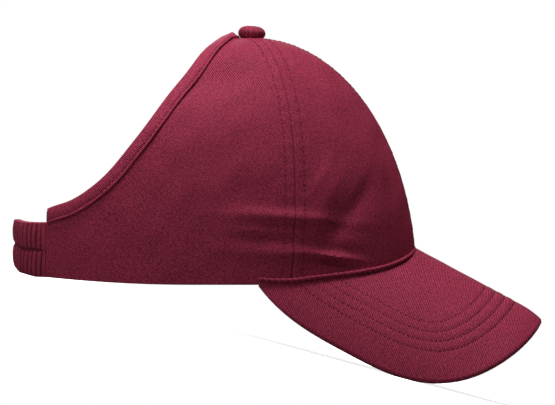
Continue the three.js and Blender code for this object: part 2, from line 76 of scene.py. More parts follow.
# %% Sizes of the button, the tape, the band and the peak
BUTTON_DIAMETER, BUTTON_HEIGHT, SHANK_DIAMETER = 13.6, 5.6, 6.4
CLINCH_DIAMETER, CLINCH_THICKNESS = 12.0, 1.0
TAPE, TAPE_WIDTH, TAPE_SHORT, TAPE_CLEARANCE = 0.7, 7.0, 1.2, 0.3
BAND_REACH, BAND_INSET, BAND_HEIGHT, BAND_THICKNESS = 18.7, 1.7, 27.0, 3.0
BAND_ARCH, BAND_CREST, CHANNEL_BULGE = 5.6, 1.6, 0.9
RIB_DEPTH, RIB_PITCH = 0.9, 4.5
PEAK_LENGTH, PEAK_HALF_GIRTH, PEAK_SLOPE = 73.6, 110.0, math.radians(28.2)
PEAK_SEAM_HEIGHT, PEAK_SET_BACK, PEAK_THICKNESS = 18.35, 0.9, 3.2
ARCH_MARGIN, TIP_DROOP = 5.0, 2.0
CORNER_WIDTH, CORNER_TAPER, WELT_DIAMETER = 0.7, 0.3, 2.7
# outer edge of the peak's pattern: its exponent, and places as shares of the peak's length
EDGE_POWER, EDGE_WIDEST, EDGE_TAIL, EDGE_DROOP = 2.9, -0.068, 1.264, 0.82
STITCH_PITCH = 2.5

# %% Edge of the opening, and the folds
OPENING = [(180.0, 85.6), (133.4, 78.9), (117.4, 69.3), (113.9, 56.4), (116.3, 46.8),
           (120.1, 38.4), (125.4, 31.5), (131.2, 25.6), (137.8, 21.5), (145.0, 18.8)]
OPENING_END_UP = 16.9
# middle round, middle up, half length, half width, turn, rise as a share of the fold depth
FOLDS = [(66, 15.0, 20, 1.8, 2, 0.9), (70, 7.2, 15, 1.6, 3, 0.6), (134, 11.0, 13, 4.0, -4, 0.7),
         (47, 22.0, 10, 3.2, -42, 0.7), (42, 16.0, 11, 3.4, -36, -0.9),
         (47, 7.5, 9, 2.2, 8, -0.8), (92, 42.0, 20, 7.0, -20, 0.6)]
# soft forms that only the fine cloth shows: creases beside the large ones, the hollow and the
# bulge below the button, the fuller front, small folds, and the dent and ridge above the welt
FINE_FOLDS = [
    (64, 15.8, 15, 1.3, 3, 0.45), (60, 13.4, 16, 1.3, 3, -0.6), (74, 12.3, 9, 1.3, 2, 0.5),
    (66, 10.3, 14, 1.1, 2, -0.4), (58, 7.4, 12, 1.2, 2, 0.4), (120, 15.0, 12, 3.0, -6, -0.35),
    (94, 51.0, 21, 9.0, 4, -2.1), (88, 68.0, 15, 7.0, 0, 0.5), (33, 58.0, 16, 14.0, 0, 0.9),
    (50, 25.0, 9, 1.6, -42, 0.35), (38, 19.0, 9, 1.8, -40, -0.4), (30, 30.0, 9, 3.0, -50, 0.25),
    (105, 30.0, 14, 3.0, 30, 0.25), (47, 5.0, 7, 0.8, 6, -2.4), (47, 6.4, 8, 0.9, 6, 1.6)]

# %% [markdown]
# ## Small helpers
# A few helpers do all the arithmetic, on whole arrays at once: a straight blend, a smooth
# step, a bell, a halving search, vectors of length one, and the length of a line. The search
# finds the place where a surface crosses another, such as the wall and the peak.

# %% Blends, bells and the halving search
def blend(start, end, share):
    """start plus share times the way to end."""
    return start + (end - start) * share


def smooth(value, low, high):
    """0 below low and 1 above high, and 3s^2 - 2s^3 between them."""
    share = np.clip((value - low) / (high - low), 0, 1)
    return share * share * (3 - 2 * share)


def bell(value, height, middle, width):
    """height times exp(-((value - middle) / width)^2)."""
    return height * np.exp(-((value - middle) / width) ** 2)


def halve(low, high, is_below):
    """Halve the span between low and high forty times, keeping the half that holds the change."""
    low, high = np.array(low, float), np.array(high, float)
    for _ in range(40):
        middle = (low + high) / 2
        below = is_below(middle)
        low, high = np.where(below, middle, low), np.where(below, high, middle)
    return (low + high) / 2


def unit(vectors):
    """Each vector divided by its own length."""
    return vectors / np.maximum(np.linalg.norm(vectors, axis=-1, keepdims=True), 1e-12)


def length_along(line):
    """Length of a line of points up to each of them, from 0 at the first."""
    return np.concatenate([[0], np.cumsum(np.linalg.norm(np.diff(line, axis=0), axis=-1))])


# %% [markdown]
# ## The dome
# A place on the crown is a point of a flat disc whose rim is the hem and whose middle is the
# apex. The dome over it is a superellipse both round the head and up it. The real wall lies a
# little inside the seams' round, because flat panels only meet the full curve at their seams,
# and it carries the folds and the small collar of cloth behind the button.

# %% Dome
def on_disc(around, up):
    """Radius 1 - up/90 in the direction of the angle round."""
    around, up = np.broadcast_arrays(np.asarray(around, float), np.asarray(up, float))
    radius, turn = 1 - up / 90, np.radians(around)
    return np.stack([radius * np.cos(turn), radius * np.sin(turn)], axis=-1)


def up_of(place):
    """90 times what is left of the disc's radius."""
    return 90 * (1 - np.linalg.norm(place, axis=-1))


def hem_oval(turn):
    """(|cos/a|^p + |sin/b|^p)^(-1/p) from the middle, with p larger towards the front."""
    ahead = np.maximum(0, np.cos(turn)) ** 4
    power = blend(SQUARE_BACK, SQUARE_FRONT, ahead)
    along, across = np.abs(np.cos(turn)) / HALF_LENGTH, np.abs(np.sin(turn)) / HALF_WIDTH
    radius = (along ** power + across ** power) ** (-1 / power)
    return np.stack([radius * np.cos(turn), radius * np.sin(turn)], axis=-1)


def dome_shares(place):
    """Angle round, and the level and upright shares of a superellipse section."""
    turn = np.arctan2(place[..., 1], place[..., 0])
    lift = (1 - np.linalg.norm(place, axis=-1)) * math.pi / 2
    facing = np.cos(turn)
    power = blend(FULL_SIDE, np.where(facing > 0, FULL_FRONT, FULL_BACK), facing ** 2)
    level, upright = np.cos(lift), np.sin(lift)
    scale = (np.abs(level) ** power + np.abs(upright) ** power) ** (-1 / power)
    return turn, level * scale, upright * scale


def dome_point(turn, reach, height):
    """The hem's oval shrunk towards the apex by reach, and lifted by height."""
    rim = hem_oval(turn)
    x = APEX_FORWARD + (rim[..., 0] - APEX_FORWARD) * reach
    return np.stack([x, rim[..., 1] * reach, CROWN_HEIGHT * height], axis=-1)


def dome_normal(place):
    """Cross product of the dome's two slopes on the disc."""
    step = 0.002
    slopes = [dome_point(*dome_shares(place + np.array(way))) -
              dome_point(*dome_shares(place - np.array(way))) for way in ((step, 0), (0, step))]
    return unit(np.cross(slopes[0], slopes[1]))


# %% Seams and folds
def seam_around(up):
    """The seam's angle, bowed forward by a sine over the height."""
    return SEAM_ANGLE - SEAM_BOW * np.sin(math.pi * np.clip(np.asarray(up) / 90, 0, 1))


ARCH_RADIUS = HALF_WIDTH + ARCH_MARGIN
PEAK_ROOT = HALF_LENGTH - PEAK_SET_BACK


def arch_drop(side, depth):
    """How far a circle of the arch's radius lies under its top, that far to the side."""
    return np.sqrt(np.maximum(0, (ARCH_RADIUS - depth) ** 2 - side ** 2)) - ARCH_RADIUS


def peak_height(x, y, depth=0.0):
    """Height of the peak's face over a level place: a tilted arch."""
    return (PEAK_SEAM_HEIGHT - math.tan(PEAK_SLOPE) * (x - PEAK_ROOT)
            + arch_drop(y, depth) / math.cos(PEAK_SLOPE))


def fold_rise(around, up):
    """Sum of bells along and across each fold's own line, held flat at the peak's seam."""
    rise = 0
    for fold_around, fold_up, long, wide, turn, height in FOLDS + FINE_FOLDS:
        turn = math.radians(turn)
        across, over = around - fold_around, up - fold_up
        along = (across * math.cos(turn) + over * math.sin(turn)) / long
        beside = (over * math.cos(turn) - across * math.sin(turn)) / wide
        rise = rise + height * FOLD_DEPTH * np.exp(-along ** 2 - beside ** 2)
    rim = hem_oval(np.radians(around))
    height = np.clip(peak_height(rim[..., 0], rim[..., 1]) / CROWN_HEIGHT, 0, 1)
    held = np.degrees(np.arcsin(height))
    return rise * smooth(up, held, held + FOLD_FREE)


# %% The wall
def wall(place, rise=0.0):
    """The dome, less the gore's hollow between seams, plus collar, folds and rise outwards."""
    turn, reach, height = dome_shares(place)
    around, up = np.degrees(np.abs(turn)), up_of(place)
    seam = seam_around(up)
    in_panel = np.where(around < seam, around / seam, (around - seam) / (180 - seam))
    gore = GORE_DEPTH * blend(GORE_HEM, GORE_APEX, np.maximum(0, up / 90) ** 1.5)
    reach = reach * (1 - gore * np.abs(np.sin(math.pi * in_panel)) / HALF_WIDTH)
    point = dome_point(turn, reach, height)
    behind = (APEX_FORWARD - BUTTON_DIAMETER / 2 - point[..., 0]) / COLLAR_SPREAD
    beside = point[..., 1] / COLLAR_SPREAD
    collar = np.exp(-((behind - COLLAR_MIDDLE) ** 2 + beside ** 2) / 2)
    collar = collar * smooth(behind, COLLAR_START, COLLAR_MIDDLE)
    point[..., 2] += COLLAR_LIFT * collar
    out = fold_rise(around, up) + rise
    return point + dome_normal(place) * out[..., None]


def climb(around, test):
    """Place at each angle round up to which a test of the wall's point holds."""
    around = np.asarray(around, float)
    up = halve(np.full(around.shape, LOWEST_UP), np.full(around.shape, HIGHEST_UP),
               lambda middle: test(wall(on_disc(around, middle))))
    return on_disc(around, up)


def mm_per_degree(around, up):
    """Length of one degree round on the plain dome, measured over half a degree."""
    ends = [dome_point(*dome_shares(on_disc(around + step, up))) for step in (-0.25, 0.25)]
    return np.linalg.norm(ends[1] - ends[0], axis=-1) / 0.5


# %% [markdown]
# ## The peak's flat pattern
# A real peak is a flat board pressed over an arch. So its outline is drawn flat, as half a
# superellipse, and then rolled: the girth becomes an angle, and the way forward runs down the
# slope. The hem, the peak's corner and the cut at the back band follow from it.

# %% Peak pattern and hem
def peak_point(girth, forward, depth=0.0):
    """Roll the flat pattern over the arch and tip it down the slope."""
    roll = girth / ARCH_RADIUS
    start = EDGE_DROOP * PEAK_LENGTH
    droop = TIP_DROOP * np.maximum(0, (forward - start) / (PEAK_LENGTH - start)) ** 2
    rise = (ARCH_RADIUS - depth) * np.cos(roll) - ARCH_RADIUS - droop
    return np.stack([PEAK_ROOT + forward * math.cos(PEAK_SLOPE) + rise * math.sin(PEAK_SLOPE),
                     (ARCH_RADIUS - depth) * np.sin(roll),
                     PEAK_SEAM_HEIGHT - forward * math.sin(PEAK_SLOPE)
                     + rise * math.cos(PEAK_SLOPE)], axis=-1)


def peak_pattern(point, depth):
    """Unroll a point of the peak's face to girth and way forward."""
    side = point[..., 1]
    girth = ARCH_RADIUS * np.arcsin(np.clip(side / (ARCH_RADIUS - depth), -1, 1))
    rise = arch_drop(side, depth)
    forward = (point[..., 0] - PEAK_ROOT - rise * math.sin(PEAK_SLOPE)) / math.cos(PEAK_SLOPE)
    return np.stack([girth, forward], axis=-1)


def peak_edge(turn):
    """Half a superellipse: sine and cosine raised to two over the exponent."""
    turn = np.asarray(turn, float)
    widest = EDGE_WIDEST * PEAK_LENGTH
    reach = np.where(np.cos(turn) > 0, PEAK_LENGTH - widest, EDGE_TAIL * PEAK_LENGTH)
    across = np.abs(np.sin(turn)) ** (2 / EDGE_POWER) * np.sign(np.sin(turn))
    ahead = np.abs(np.cos(turn)) ** (2 / EDGE_POWER) * np.sign(np.cos(turn))
    return np.stack([PEAK_HALF_GIRTH * across, widest + reach * ahead], axis=-1)


def beyond_hem(turn):
    """True while the edge stands clear of the hem's oval."""
    point = peak_point(*np.moveaxis(peak_edge(turn), -1, 0))
    rim = np.linalg.norm(hem_oval(np.arctan2(point[..., 1], point[..., 0])), axis=-1)
    return np.hypot(point[..., 0], point[..., 1]) - rim > CORNER_WIDTH + GAP


CORNER_TURN = float(halve(math.pi / 2, math.pi, beyond_hem))
corner_point = peak_point(*peak_edge(CORNER_TURN))
CORNER_AROUND = math.degrees(math.atan2(corner_point[1], corner_point[0]))
BACK_END = -(HALF_LENGTH - BAND_REACH)
print("corner of the peak at", round(CORNER_AROUND, 2), "degrees round")


# the hem is level up to here, and in front it runs this far below the peak's top face
HEM_LEVEL_END, HEM_UNDER_PEAK = -0.1 * HALF_LENGTH, 1.15 * PEAK_THICKNESS


def hem_height(point):
    """Level, rising by a square law to the back, and under the peak's root at the front."""
    behind = np.maximum(0, (HEM_LEVEL_END - point[..., 0]) / (HEM_LEVEL_END - BACK_END))
    root = peak_height(point[..., 0], point[..., 1]) - HEM_UNDER_PEAK
    corner = hem_oval(math.radians(CORNER_AROUND))[0]
    seam = hem_oval(math.radians(SEAM_ANGLE))[0]
    return blend(HEM_RISE * behind ** 2, root, smooth(point[..., 0], corner, seam))


def hem_place(around):
    """Where the wall stands at the hem's height."""
    return climb(around, lambda point: point[..., 2] < hem_height(point))


def meets_peak(around, depth=0.0):
    """Where the wall meets the peak's top face, or a face that deep below it."""
    return climb(around, lambda point: point[..., 2]
                 < peak_height(point[..., 0], point[..., 1], depth))


def back_cut(up):
    """Where the side panel is cut straight across at the band."""
    up = np.asarray(up, float)
    around = halve(np.full(up.shape, 100.0), np.full(up.shape, 179.0),
                   lambda middle: wall(on_disc(middle, up))[..., 0] > BACK_END)
    return on_disc(around, up)


# %% [markdown]
# ## From the level cap to the cap at rest
# The lesson's cap is drawn level. At rest it stands nose up, on its band and on the two low
# sides of the peak, so each finished surface is turned by the rest angle and shifted. The
# shift puts the button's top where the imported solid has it.

# %% Rest pose
REST_TILT = math.radians(15.295)
BUTTON_TOP_AT_REST = (-45.111, 149.256)
BUTTON_SEAT = float(wall(on_disc(0.0, RING_UP))[2]) + 2 * GAP
AT_REST_X = np.array([math.cos(REST_TILT), 0, math.sin(REST_TILT)])
AT_REST_Z = np.array([-math.sin(REST_TILT), 0, math.cos(REST_TILT)])
button_top = APEX_FORWARD * AT_REST_X + (BUTTON_SEAT + BUTTON_HEIGHT) * AT_REST_Z
SHIFT = np.array([BUTTON_TOP_AT_REST[0] - button_top[0], 0, BUTTON_TOP_AT_REST[1] - button_top[2]])


def at_rest(points):
    """Turn nose up, shift, and change millimetres to metres."""
    turned = (points[..., :1] * AT_REST_X + points[..., 2:] * AT_REST_Z
              + points[..., 1:2] * np.array([0, 1.0, 0]))
    return (turned + SHIFT) / 1000


print("shift", SHIFT.round(3))

# %% [markdown]
# ## From arrays to meshes
# A shell is a stack of rings: each ring goes out along the outer face and back along the inner
# one. numpy numbers the corners, foreach_set writes them, and the signed volume says whether
# the faces look outwards. Each mesh keeps a UV map of the cloth in metres, so that the weave
# follows the cloth.

# %% Meshes
def make_mesh(name, points, faces, cloth, sharp=50.0, shade=None):
    """Write corner places, four-cornered faces and their cloth map into one object."""
    flat = at_rest(points.reshape(-1, 3))
    corners = flat[faces]
    halves = (corners[:, [0, 1, 2]], corners[:, [0, 2, 3]])
    volume = sum(np.einsum("ij,ij->i", t[:, 0], np.cross(t[:, 1], t[:, 2])).sum() for t in halves)
    if volume < 0:
        faces = faces[:, ::-1]
    mesh = bpy.data.meshes.new(name)
    mesh.vertices.add(len(flat))
    mesh.vertices.foreach_set("co", flat.astype(np.float32).ravel())
    mesh.loops.add(faces.size)
    mesh.loops.foreach_set("vertex_index", faces.astype(np.int32).ravel())
    mesh.polygons.add(len(faces))
    mesh.polygons.foreach_set("loop_start", np.arange(0, faces.size, 4, dtype=np.int32))
    mesh.polygons.foreach_set("use_smooth", np.ones(len(faces), bool))
    layer = mesh.uv_layers.new(name="cloth")
    flat_cloth = cloth.reshape(-1, 2)[faces.ravel()] / 1000
    layer.data.foreach_set("uv", flat_cloth.astype(np.float32).ravel())
    mesh.update(calc_edges=True)
    mesh.validate()
    mesh.set_sharp_from_angle(angle=math.radians(sharp))
    # painted shade, from 0 to 1, kept per corner: the twill darkens its colour by it in creases,
    # seams and grooves
    if shade is not None:
        depth = mesh.attributes.new("shade", "FLOAT", "POINT")
        depth.data.foreach_set("value", shade.astype(np.float32).ravel())
    made = bpy.data.objects.new(name, mesh)
    bpy.context.scene.collection.objects.link(made)
    print(name, len(flat), "corners", len(faces) * 2, "triangles", "volume cm3",
          round(abs(volume) / 6 * 1e6, 2))
    return made


def ring_faces(rows, count):
    """Quads between neighbouring rings, and strips that close the first and last ring.

    Where a ring has an odd count of corners, a sliver at its middle corner stays open."""
    here = np.arange(rows * count).reshape(rows, count)
    ahead = np.roll(here, -1, axis=1)
    faces = [np.stack([here[:-1], ahead[:-1], ahead[1:], here[1:]], axis=-1).reshape(-1, 4)]
    at = np.arange(count // 2 - 1)
    for row, flip in ((here[0], False), (here[-1], True)):
        strip = np.stack([row[at], row[count - 1 - at], row[count - 2 - at], row[at + 1]],
                         axis=-1)
        faces.append(strip[:, ::-1] if flip else strip)
    return np.concatenate(faces)


def make_rings(name, rings, cloth, sharp=50.0, shade=None):
    """One object from a stack of rings, closed at both ends."""
    return make_mesh(name, rings, ring_faces(*rings.shape[:2]), cloth, sharp, shade)


def cloth_grid(run, girth):
    """Cloth map of rings: the way along the piece, and the way round each ring."""
    return np.stack(np.broadcast_arrays(run[:, None], girth[None, :]), axis=-1)


# how far the end of a cloth edge is drawn in to round it, as a share of the cloth's thickness
EDGE_ROUNDING = 0.45


def shell_rings(outer, inner, cloth):
    """Rings over both faces, with a rounded cloth edge at each end of every ring."""
    def rounded(end, before, facing, facing_before):
        out = unit((end - before) + (facing - facing_before)) * CLOTH * EDGE_ROUNDING
        return end - out, (end + facing) / 2, facing - out
    low = rounded(outer[:, 0], outer[:, 1], inner[:, 0], inner[:, 1])
    high = rounded(outer[:, -1], outer[:, -2], inner[:, -1], inner[:, -2])
    rings = np.concatenate([low[0][:, None], outer[:, 1:-1], high[0][:, None], high[1][:, None],
                            high[2][:, None], inner[:, -2:0:-1], low[2][:, None],
                            low[1][:, None]], axis=1)
    ring_cloth = np.concatenate([cloth, cloth[:, -1:], cloth[:, ::-1], cloth[:, :1]], axis=1)
    return rings, ring_cloth


# %% [markdown]
# ## The crown's cloth
# The panels are cotton twill about 1.2 mm thick with its backing. At each seam both edges turn
# in, and the turned-in cloth is stitched down 5 mm to either side. So the surface dips at the
# seam, swells over the hidden layers, and dips again under the thread, with small puckers
# where the needle pulled. These dips are real geometry, since light from above shows them.

# %% Relief of the seams
SEAM_TOPSTITCH = 5.0
# height, distance from the seam and width of each form beside it
SEAM_DIP, SEAM_SWELL = (-0.5, 0.0, 0.45), (0.10, 2.4, 1.5)
SEAM_GROOVE, SEAM_PUCKER = (-0.20, SEAM_TOPSTITCH, 0.55), (0.075, 4.2, 2.6)
# painted shade in the seam's dip and round the needle holes: its darkness, distance from the seam
# and width
SEAM_PAINTED_SHADE, HOLE_PAINTED_SHADE = (0.25, 0.0, 0.45), (0.25, SEAM_TOPSTITCH, 0.45)


def at_needle(along, between):
    """1 at each needle hole, and the value between halfway to the next, by a cosine."""
    return blend(between, 1, (1 + np.cos(2 * math.pi * along / STITCH_PITCH)) / 2)


def seam_relief(away, along):
    """Dip at the seam, swell over the turned-in cloth, dip at the stitching, soft puckers.

    The puckers follow three sines of unlike lengths, so that they don't repeat."""
    away = np.abs(away)
    wander = np.sin(along * 0.9) + 0.6 * np.sin(along * 1.7 + 1.3) + 0.5 * np.sin(along * 0.47)
    return (bell(away, *SEAM_DIP) + bell(away, *SEAM_SWELL)
            + bell(away, *SEAM_GROOVE) * at_needle(along, 0.3) + bell(away, *SEAM_PUCKER) * wander)


def seam_shade(away, along):
    """Painted shade in the seam and round the needle holes, from 0 to 1."""
    away = np.abs(away)
    return bell(away, *SEAM_PAINTED_SHADE) + bell(away, *HOLE_PAINTED_SHADE) * at_needle(along, 0)


WAVE_COUNT, WAVE_SHORTEST, WAVE_LONGEST = 7, 14, 34


def soft_waves(u, v, seed):
    """Slow hand-made unevenness: the mean of sine waves with random way, phase and length."""
    draw = np.random.default_rng(seed)
    waves = 0
    for _ in range(WAVE_COUNT):
        turn, phase = draw.uniform(0, 2 * math.pi, 2)
        length = draw.uniform(WAVE_SHORTEST, WAVE_LONGEST)
        across = u * math.cos(turn) + v * math.sin(turn)
        waves = waves + np.sin(across * 2 * math.pi / length + phase)
    return waves / WAVE_COUNT


# %% Cloth map of the crown
# length up the wall at one angle round, which stands for all of them
MEASURED_AROUND, MEASURED_UPS = 100.0, np.linspace(LOWEST_UP, 90, 400)
measured = length_along(wall(on_disc(MEASURED_AROUND, MEASURED_UPS)))
measured = measured - np.interp(0, MEASURED_UPS, measured)
print("up the wall to the apex", round(measured[-1], 1), "mm")


def height_on_cloth(up):
    """Length along the wall from the level hem, read from the measured line."""
    return np.interp(up, MEASURED_UPS, measured)


def cloth_map(around, up, middle):
    """Way round from the panel's middle line, and way up, both measured on the cloth."""
    across = (around - middle) * mm_per_degree((around + middle) / 2, up)
    return np.stack([across, height_on_cloth(up)], axis=-1)


# %% Panel maker
# heights of the slack cloth's waves and of the turned-in cloth, which lies inside
SLACK, TURNED_IN = 0.45, 0.45
# distances from a seam over which the turned-in cloth ends, and over which the slack begins
TURNED_IN_END, SLACK_START = (5.2, 6.4), (5.5, 16)
# degrees up at which the seams have faded out under the button, and over how many
SEAM_END_UP, SEAM_END_FADE = 88.0, 6


def panel(name, place, side, middle, held, seed):
    """One crown panel from its places on the disc: both faces with their relief.

    A front panel has a second seam, the one between the two front panels."""
    around = np.degrees(np.arctan2(np.abs(place[..., 1]), place[..., 0]))
    up = up_of(place)
    cloth = cloth_map(around, up, middle) * [side, 1]
    along = height_on_cloth(up)
    seams = [np.abs(around - seam_around(up)) * mm_per_degree(seam_around(up), up)]
    if middle < SEAM_ANGLE:
        seams.append(around * mm_per_degree(0 * up, up))
    fade = smooth(SEAM_END_UP - up, 0, SEAM_END_FADE)
    relief = sum(seam_relief(away, along) for away in seams) * fade
    # painted shade along the seams and round the needle holes, which darkens the cloth's colour
    shade = sum(seam_shade(away, along) for away in seams) * fade
    calm = held * fade * math.prod(smooth(away, *SLACK_START) for away in seams)
    outer_rise = relief + SLACK * calm * soft_waves(cloth[..., 0], cloth[..., 1], seed)
    layers = TURNED_IN * (1 - smooth(np.min(seams, axis=0), *TURNED_IN_END))
    place = place * np.array([1, side])
    rings, ring_cloth = shell_rings(wall(place, outer_rise), wall(place, -CLOTH - layers * fade),
                                    cloth)
    inside = np.zeros((len(shade), rings.shape[1] - shade.shape[1]))
    return make_rings(name, rings, ring_cloth, shade=np.concatenate([shade, inside], axis=1))


# %% [markdown]
# ## Front and side panels
# A front panel runs from the middle of the front to the side seam. A side panel is a patch
# between four borders: the hem, the seam, the straight cut at the band, and the upper border,
# which goes round the button and then down the edge of the opening. The patch blends its four
# borders, which is called a Coons patch.

# %% Front panels
PANEL_COLUMNS, RING_COLUMNS, PANEL_ROWS = 131, 46, 191
columns, rises = np.linspace(0, 1, PANEL_COLUMNS), np.linspace(0, 1, PANEL_ROWS)
# the columns stand closer beside the two seams, where the relief is fine
front_across = blend(columns, (1 - np.cos(math.pi * columns)) / 2, 0.7)
front_hem = up_of(hem_place(SEAM_ANGLE * front_across))
front_up = blend(front_hem[:, None], RING_UP, rises[None, :])
front_place = on_disc(seam_around(front_up) * front_across[:, None], front_up)
# the peak's seam holds the cloth flat, up to between these shares of the panel's height
root_free = smooth(rises[None, :], 0.04, 0.16)
front_panels = [panel("front_cloth_" + name, front_place, side, SEAM_ANGLE / 2, root_free, seed)
                for name, side, seed in (("left", 1, 3), ("right", -1, 8))]

# %% Edge of the opening
half_edge = np.concatenate([on_disc(*np.array(OPENING).T)[1:], back_cut(OPENING_END_UP)[None]])
edge_knots = np.concatenate([half_edge[::-1] * [1, -1], on_disc(*OPENING[0])[None], half_edge])


def opening_place(along):
    """A uniform Catmull-Rom curve through the knots: -1 and 1 are its ends, 0 its middle."""
    knots = np.concatenate([[2 * edge_knots[0] - edge_knots[1]], edge_knots,
                            [2 * edge_knots[-1] - edge_knots[-2]]])
    way = (1 + np.asarray(along, float)) / 2 * (len(edge_knots) - 1)
    at = np.clip(np.floor(way), 0, len(edge_knots) - 2).astype(int)
    t = (way - at)[..., None]
    p0, p1, p2, p3 = (knots[at + step] for step in range(4))
    t0, t1 = (p2 - p0) / 2, (p3 - p1) / 2
    return (p1 + t0 * t + (-3 * p1 + 3 * p2 - 2 * t0 - t1) * t ** 2
            + (2 * p1 - 2 * p2 + t0 + t1) * t ** 3)


# %% Borders of the side panels
low_end = float(up_of(hem_place(150.0)))
last_around = float(np.degrees(np.arctan2(*back_cut(low_end)[::-1])))
ring_part = RING_SHARE * np.linspace(0, 1, RING_COLUMNS) ** 1.35
side_across = np.concatenate([ring_part[:-1], blend(RING_SHARE, 1, columns ** 1.2)])
# share to which the ring's columns are drawn together at the hem, and the degrees round of the
# panel's middle line
HEM_DRAWN_IN, SIDE_MIDDLE = 0.9, 108.0


def side_hem(across):
    """Hem of the side panel, drawn together a little where the ring's columns are."""
    fan = np.where(across < RING_SHARE, HEM_DRAWN_IN * across,
                   blend(HEM_DRAWN_IN * RING_SHARE, 1, (across - RING_SHARE) / (1 - RING_SHARE)))
    place = hem_place(blend(SEAM_ANGLE, last_around, fan))
    place[-1] = back_cut(low_end)
    return place


def side_upper(across):
    """Round the button, then along the opening."""
    ring = on_disc(blend(seam_around(RING_UP), 178, across / RING_SHARE), RING_UP)
    edge = opening_place(np.maximum(0, (across - RING_SHARE) / (1 - RING_SHARE)))
    return np.where((across < RING_SHARE)[:, None], ring, edge)


hem_line, upper_line = side_hem(side_across), side_upper(side_across)
seam_up = blend(up_of(hem_line[0]), RING_UP, rises)
seam_line = on_disc(seam_around(seam_up), seam_up)
cut_line = back_cut(blend(low_end, OPENING_END_UP, rises))
print("hem of the side panel ends at", round(last_around, 1), "degrees round")

# %% Side panels
back, rise = side_across[:, None, None], rises[None, :, None]
side_place = (hem_line[:, None] * (1 - rise) + upper_line[:, None] * rise
              + seam_line[None] * (1 - back) + cut_line[None] * back
              - hem_line[0] * (1 - back) * (1 - rise) - hem_line[-1] * back * (1 - rise)
              - upper_line[0] * (1 - back) * rise - upper_line[-1] * back * rise)
side_place[0] = seam_line
# behind the button the two side panels keep a hair's breadth from the middle plane
side_place[..., 1] = np.maximum(side_place[..., 1], 0.0006)
# the tape holds the cloth flat, down to between these shares below the opening's edge
tape_free = smooth(1 - rises[None, :], 0.03, 0.13)
side_panels = [panel("side_cloth_" + name, side_place, side, SIDE_MIDDLE, tape_free, seed)
               for name, side, seed in (("left", 1, 21), ("right", -1, 5))]

# %% [markdown]
# ## The binding of the opening
# A strip of the same twill is folded over the raw edge and stitched through all layers close
# to its own inner edge. Seen from outside it is a flat band with a small roll at that edge,
# where the strip is turned under, and a line of dips at the stitches. Its shape is a profile
# carried along the edge of the opening.

# %% Frame along the edge
def opening_frame(along):
    """Spot on the disc, edge point, outward normal, way out over the opening, and that way on
    the disc: the mix of the wall's two slopes that comes closest to it."""
    spot = opening_place(along)
    edge, normal = wall(spot), dome_normal(spot)
    before, after = (wall(opening_place(np.clip(along + step, -1, 1))) for step in (-0.004, 0.004))
    outward = unit(np.cross(normal, unit(after - before)))
    small = 0.003
    slopes = np.stack([wall(spot + way) - edge for way in small * np.eye(2)], axis=-1) / small
    on_the_disc = (np.linalg.pinv(slopes) @ outward[..., None])[..., 0]
    return spot, edge, normal, outward, on_the_disc


# how far in under the button's rim the tape may reach
TAPE_UNDER_BUTTON = 2.2


def tape_width(edge):
    """Full width, but cut short where the tape passes behind the button."""
    room = APEX_FORWARD - BUTTON_DIAMETER / 2 - edge[..., 0]
    short = np.clip(room + TAPE_UNDER_BUTTON, TAPE_SHORT, TAPE_WIDTH)
    return blend(short, TAPE_WIDTH, smooth(np.abs(edge[..., 1]) / BUTTON_DIAMETER, 0.4, 1.3))


# %% Relief of the binding
TAPE_COLUMNS, TAPE_STITCH = 231, 1.7
# height, distance from the inner edge and width of the roll there and of the stitched groove
TAPE_ROLL, TAPE_GROOVE = (0.34, 0.5, 0.55), (-0.30, TAPE_STITCH, 0.5)
TAPE_FULLNESS, TAPE_WAVE = 0.3, 0.09
# the columns stand closer at the top, where the edge turns sharply
tape_half = np.linspace(0, 1, TAPE_COLUMNS) ** 1.3
tape_along = np.concatenate([-tape_half[:0:-1], tape_half])
tape_spot, tape_edge, tape_normal, tape_out, tape_on_disc = opening_frame(tape_along)
tape_wide = tape_width(tape_edge)
tape_run = length_along(tape_edge)
# a narrow tape has no room for relief
tape_room = smooth(tape_wide, 3.0, 6.0)
print("tape along the opening", round(tape_run[-1]), "mm, width", round(tape_wide.min(), 2), "to",
      round(tape_wide.max(), 2))


def tape_relief(parts):
    """Roll at the inner edge, dip under the stitches, soft fullness and waves in the middle."""
    from_inner = (1 - parts) * tape_wide[:, None]
    groove = bell(from_inner, *TAPE_GROOVE) * at_needle(tape_run[:, None], 0.2)
    beyond = np.clip((from_inner - TAPE_STITCH) / (TAPE_WIDTH - TAPE_STITCH), 0, 1)
    wave = TAPE_WAVE * np.sin(tape_run[:, None] * 0.35) * np.sin(math.pi * parts)
    full = TAPE_FULLNESS * np.sin(math.pi * beyond) + wave
    return (bell(from_inner, *TAPE_ROLL) + groove + full) * tape_room[:, None]


def tape_inner_relief(parts):
    """The same on the inside, where it points the other way and is a little weaker."""
    return -0.8 * tape_relief(parts)


# %% Binding
def tape_leg(parts, depth, relief=None):
    """Points at shares of the tape's width in from the edge, on the wall at a depth."""
    spots = tape_spot[:, None] - tape_on_disc[:, None] * (parts * tape_wide[:, None])[..., None]
    rise = -depth * np.ones(spots.shape[:2])
    if relief is not None:
        rise = rise + relief(parts * np.ones_like(tape_wide[:, None]))
    return wall(spots, rise)


def tape_fold(reach, depth):
    """Point over the opening, that far out from the edge and deep below the cloth's face."""
    return (tape_edge + tape_out * reach - tape_normal * depth)[:, None]


legs = np.linspace(1, 0, 34)[None, :]
out_by, under_by = TAPE_CLEARANCE + TAPE, CLOTH + TAPE_CLEARANCE
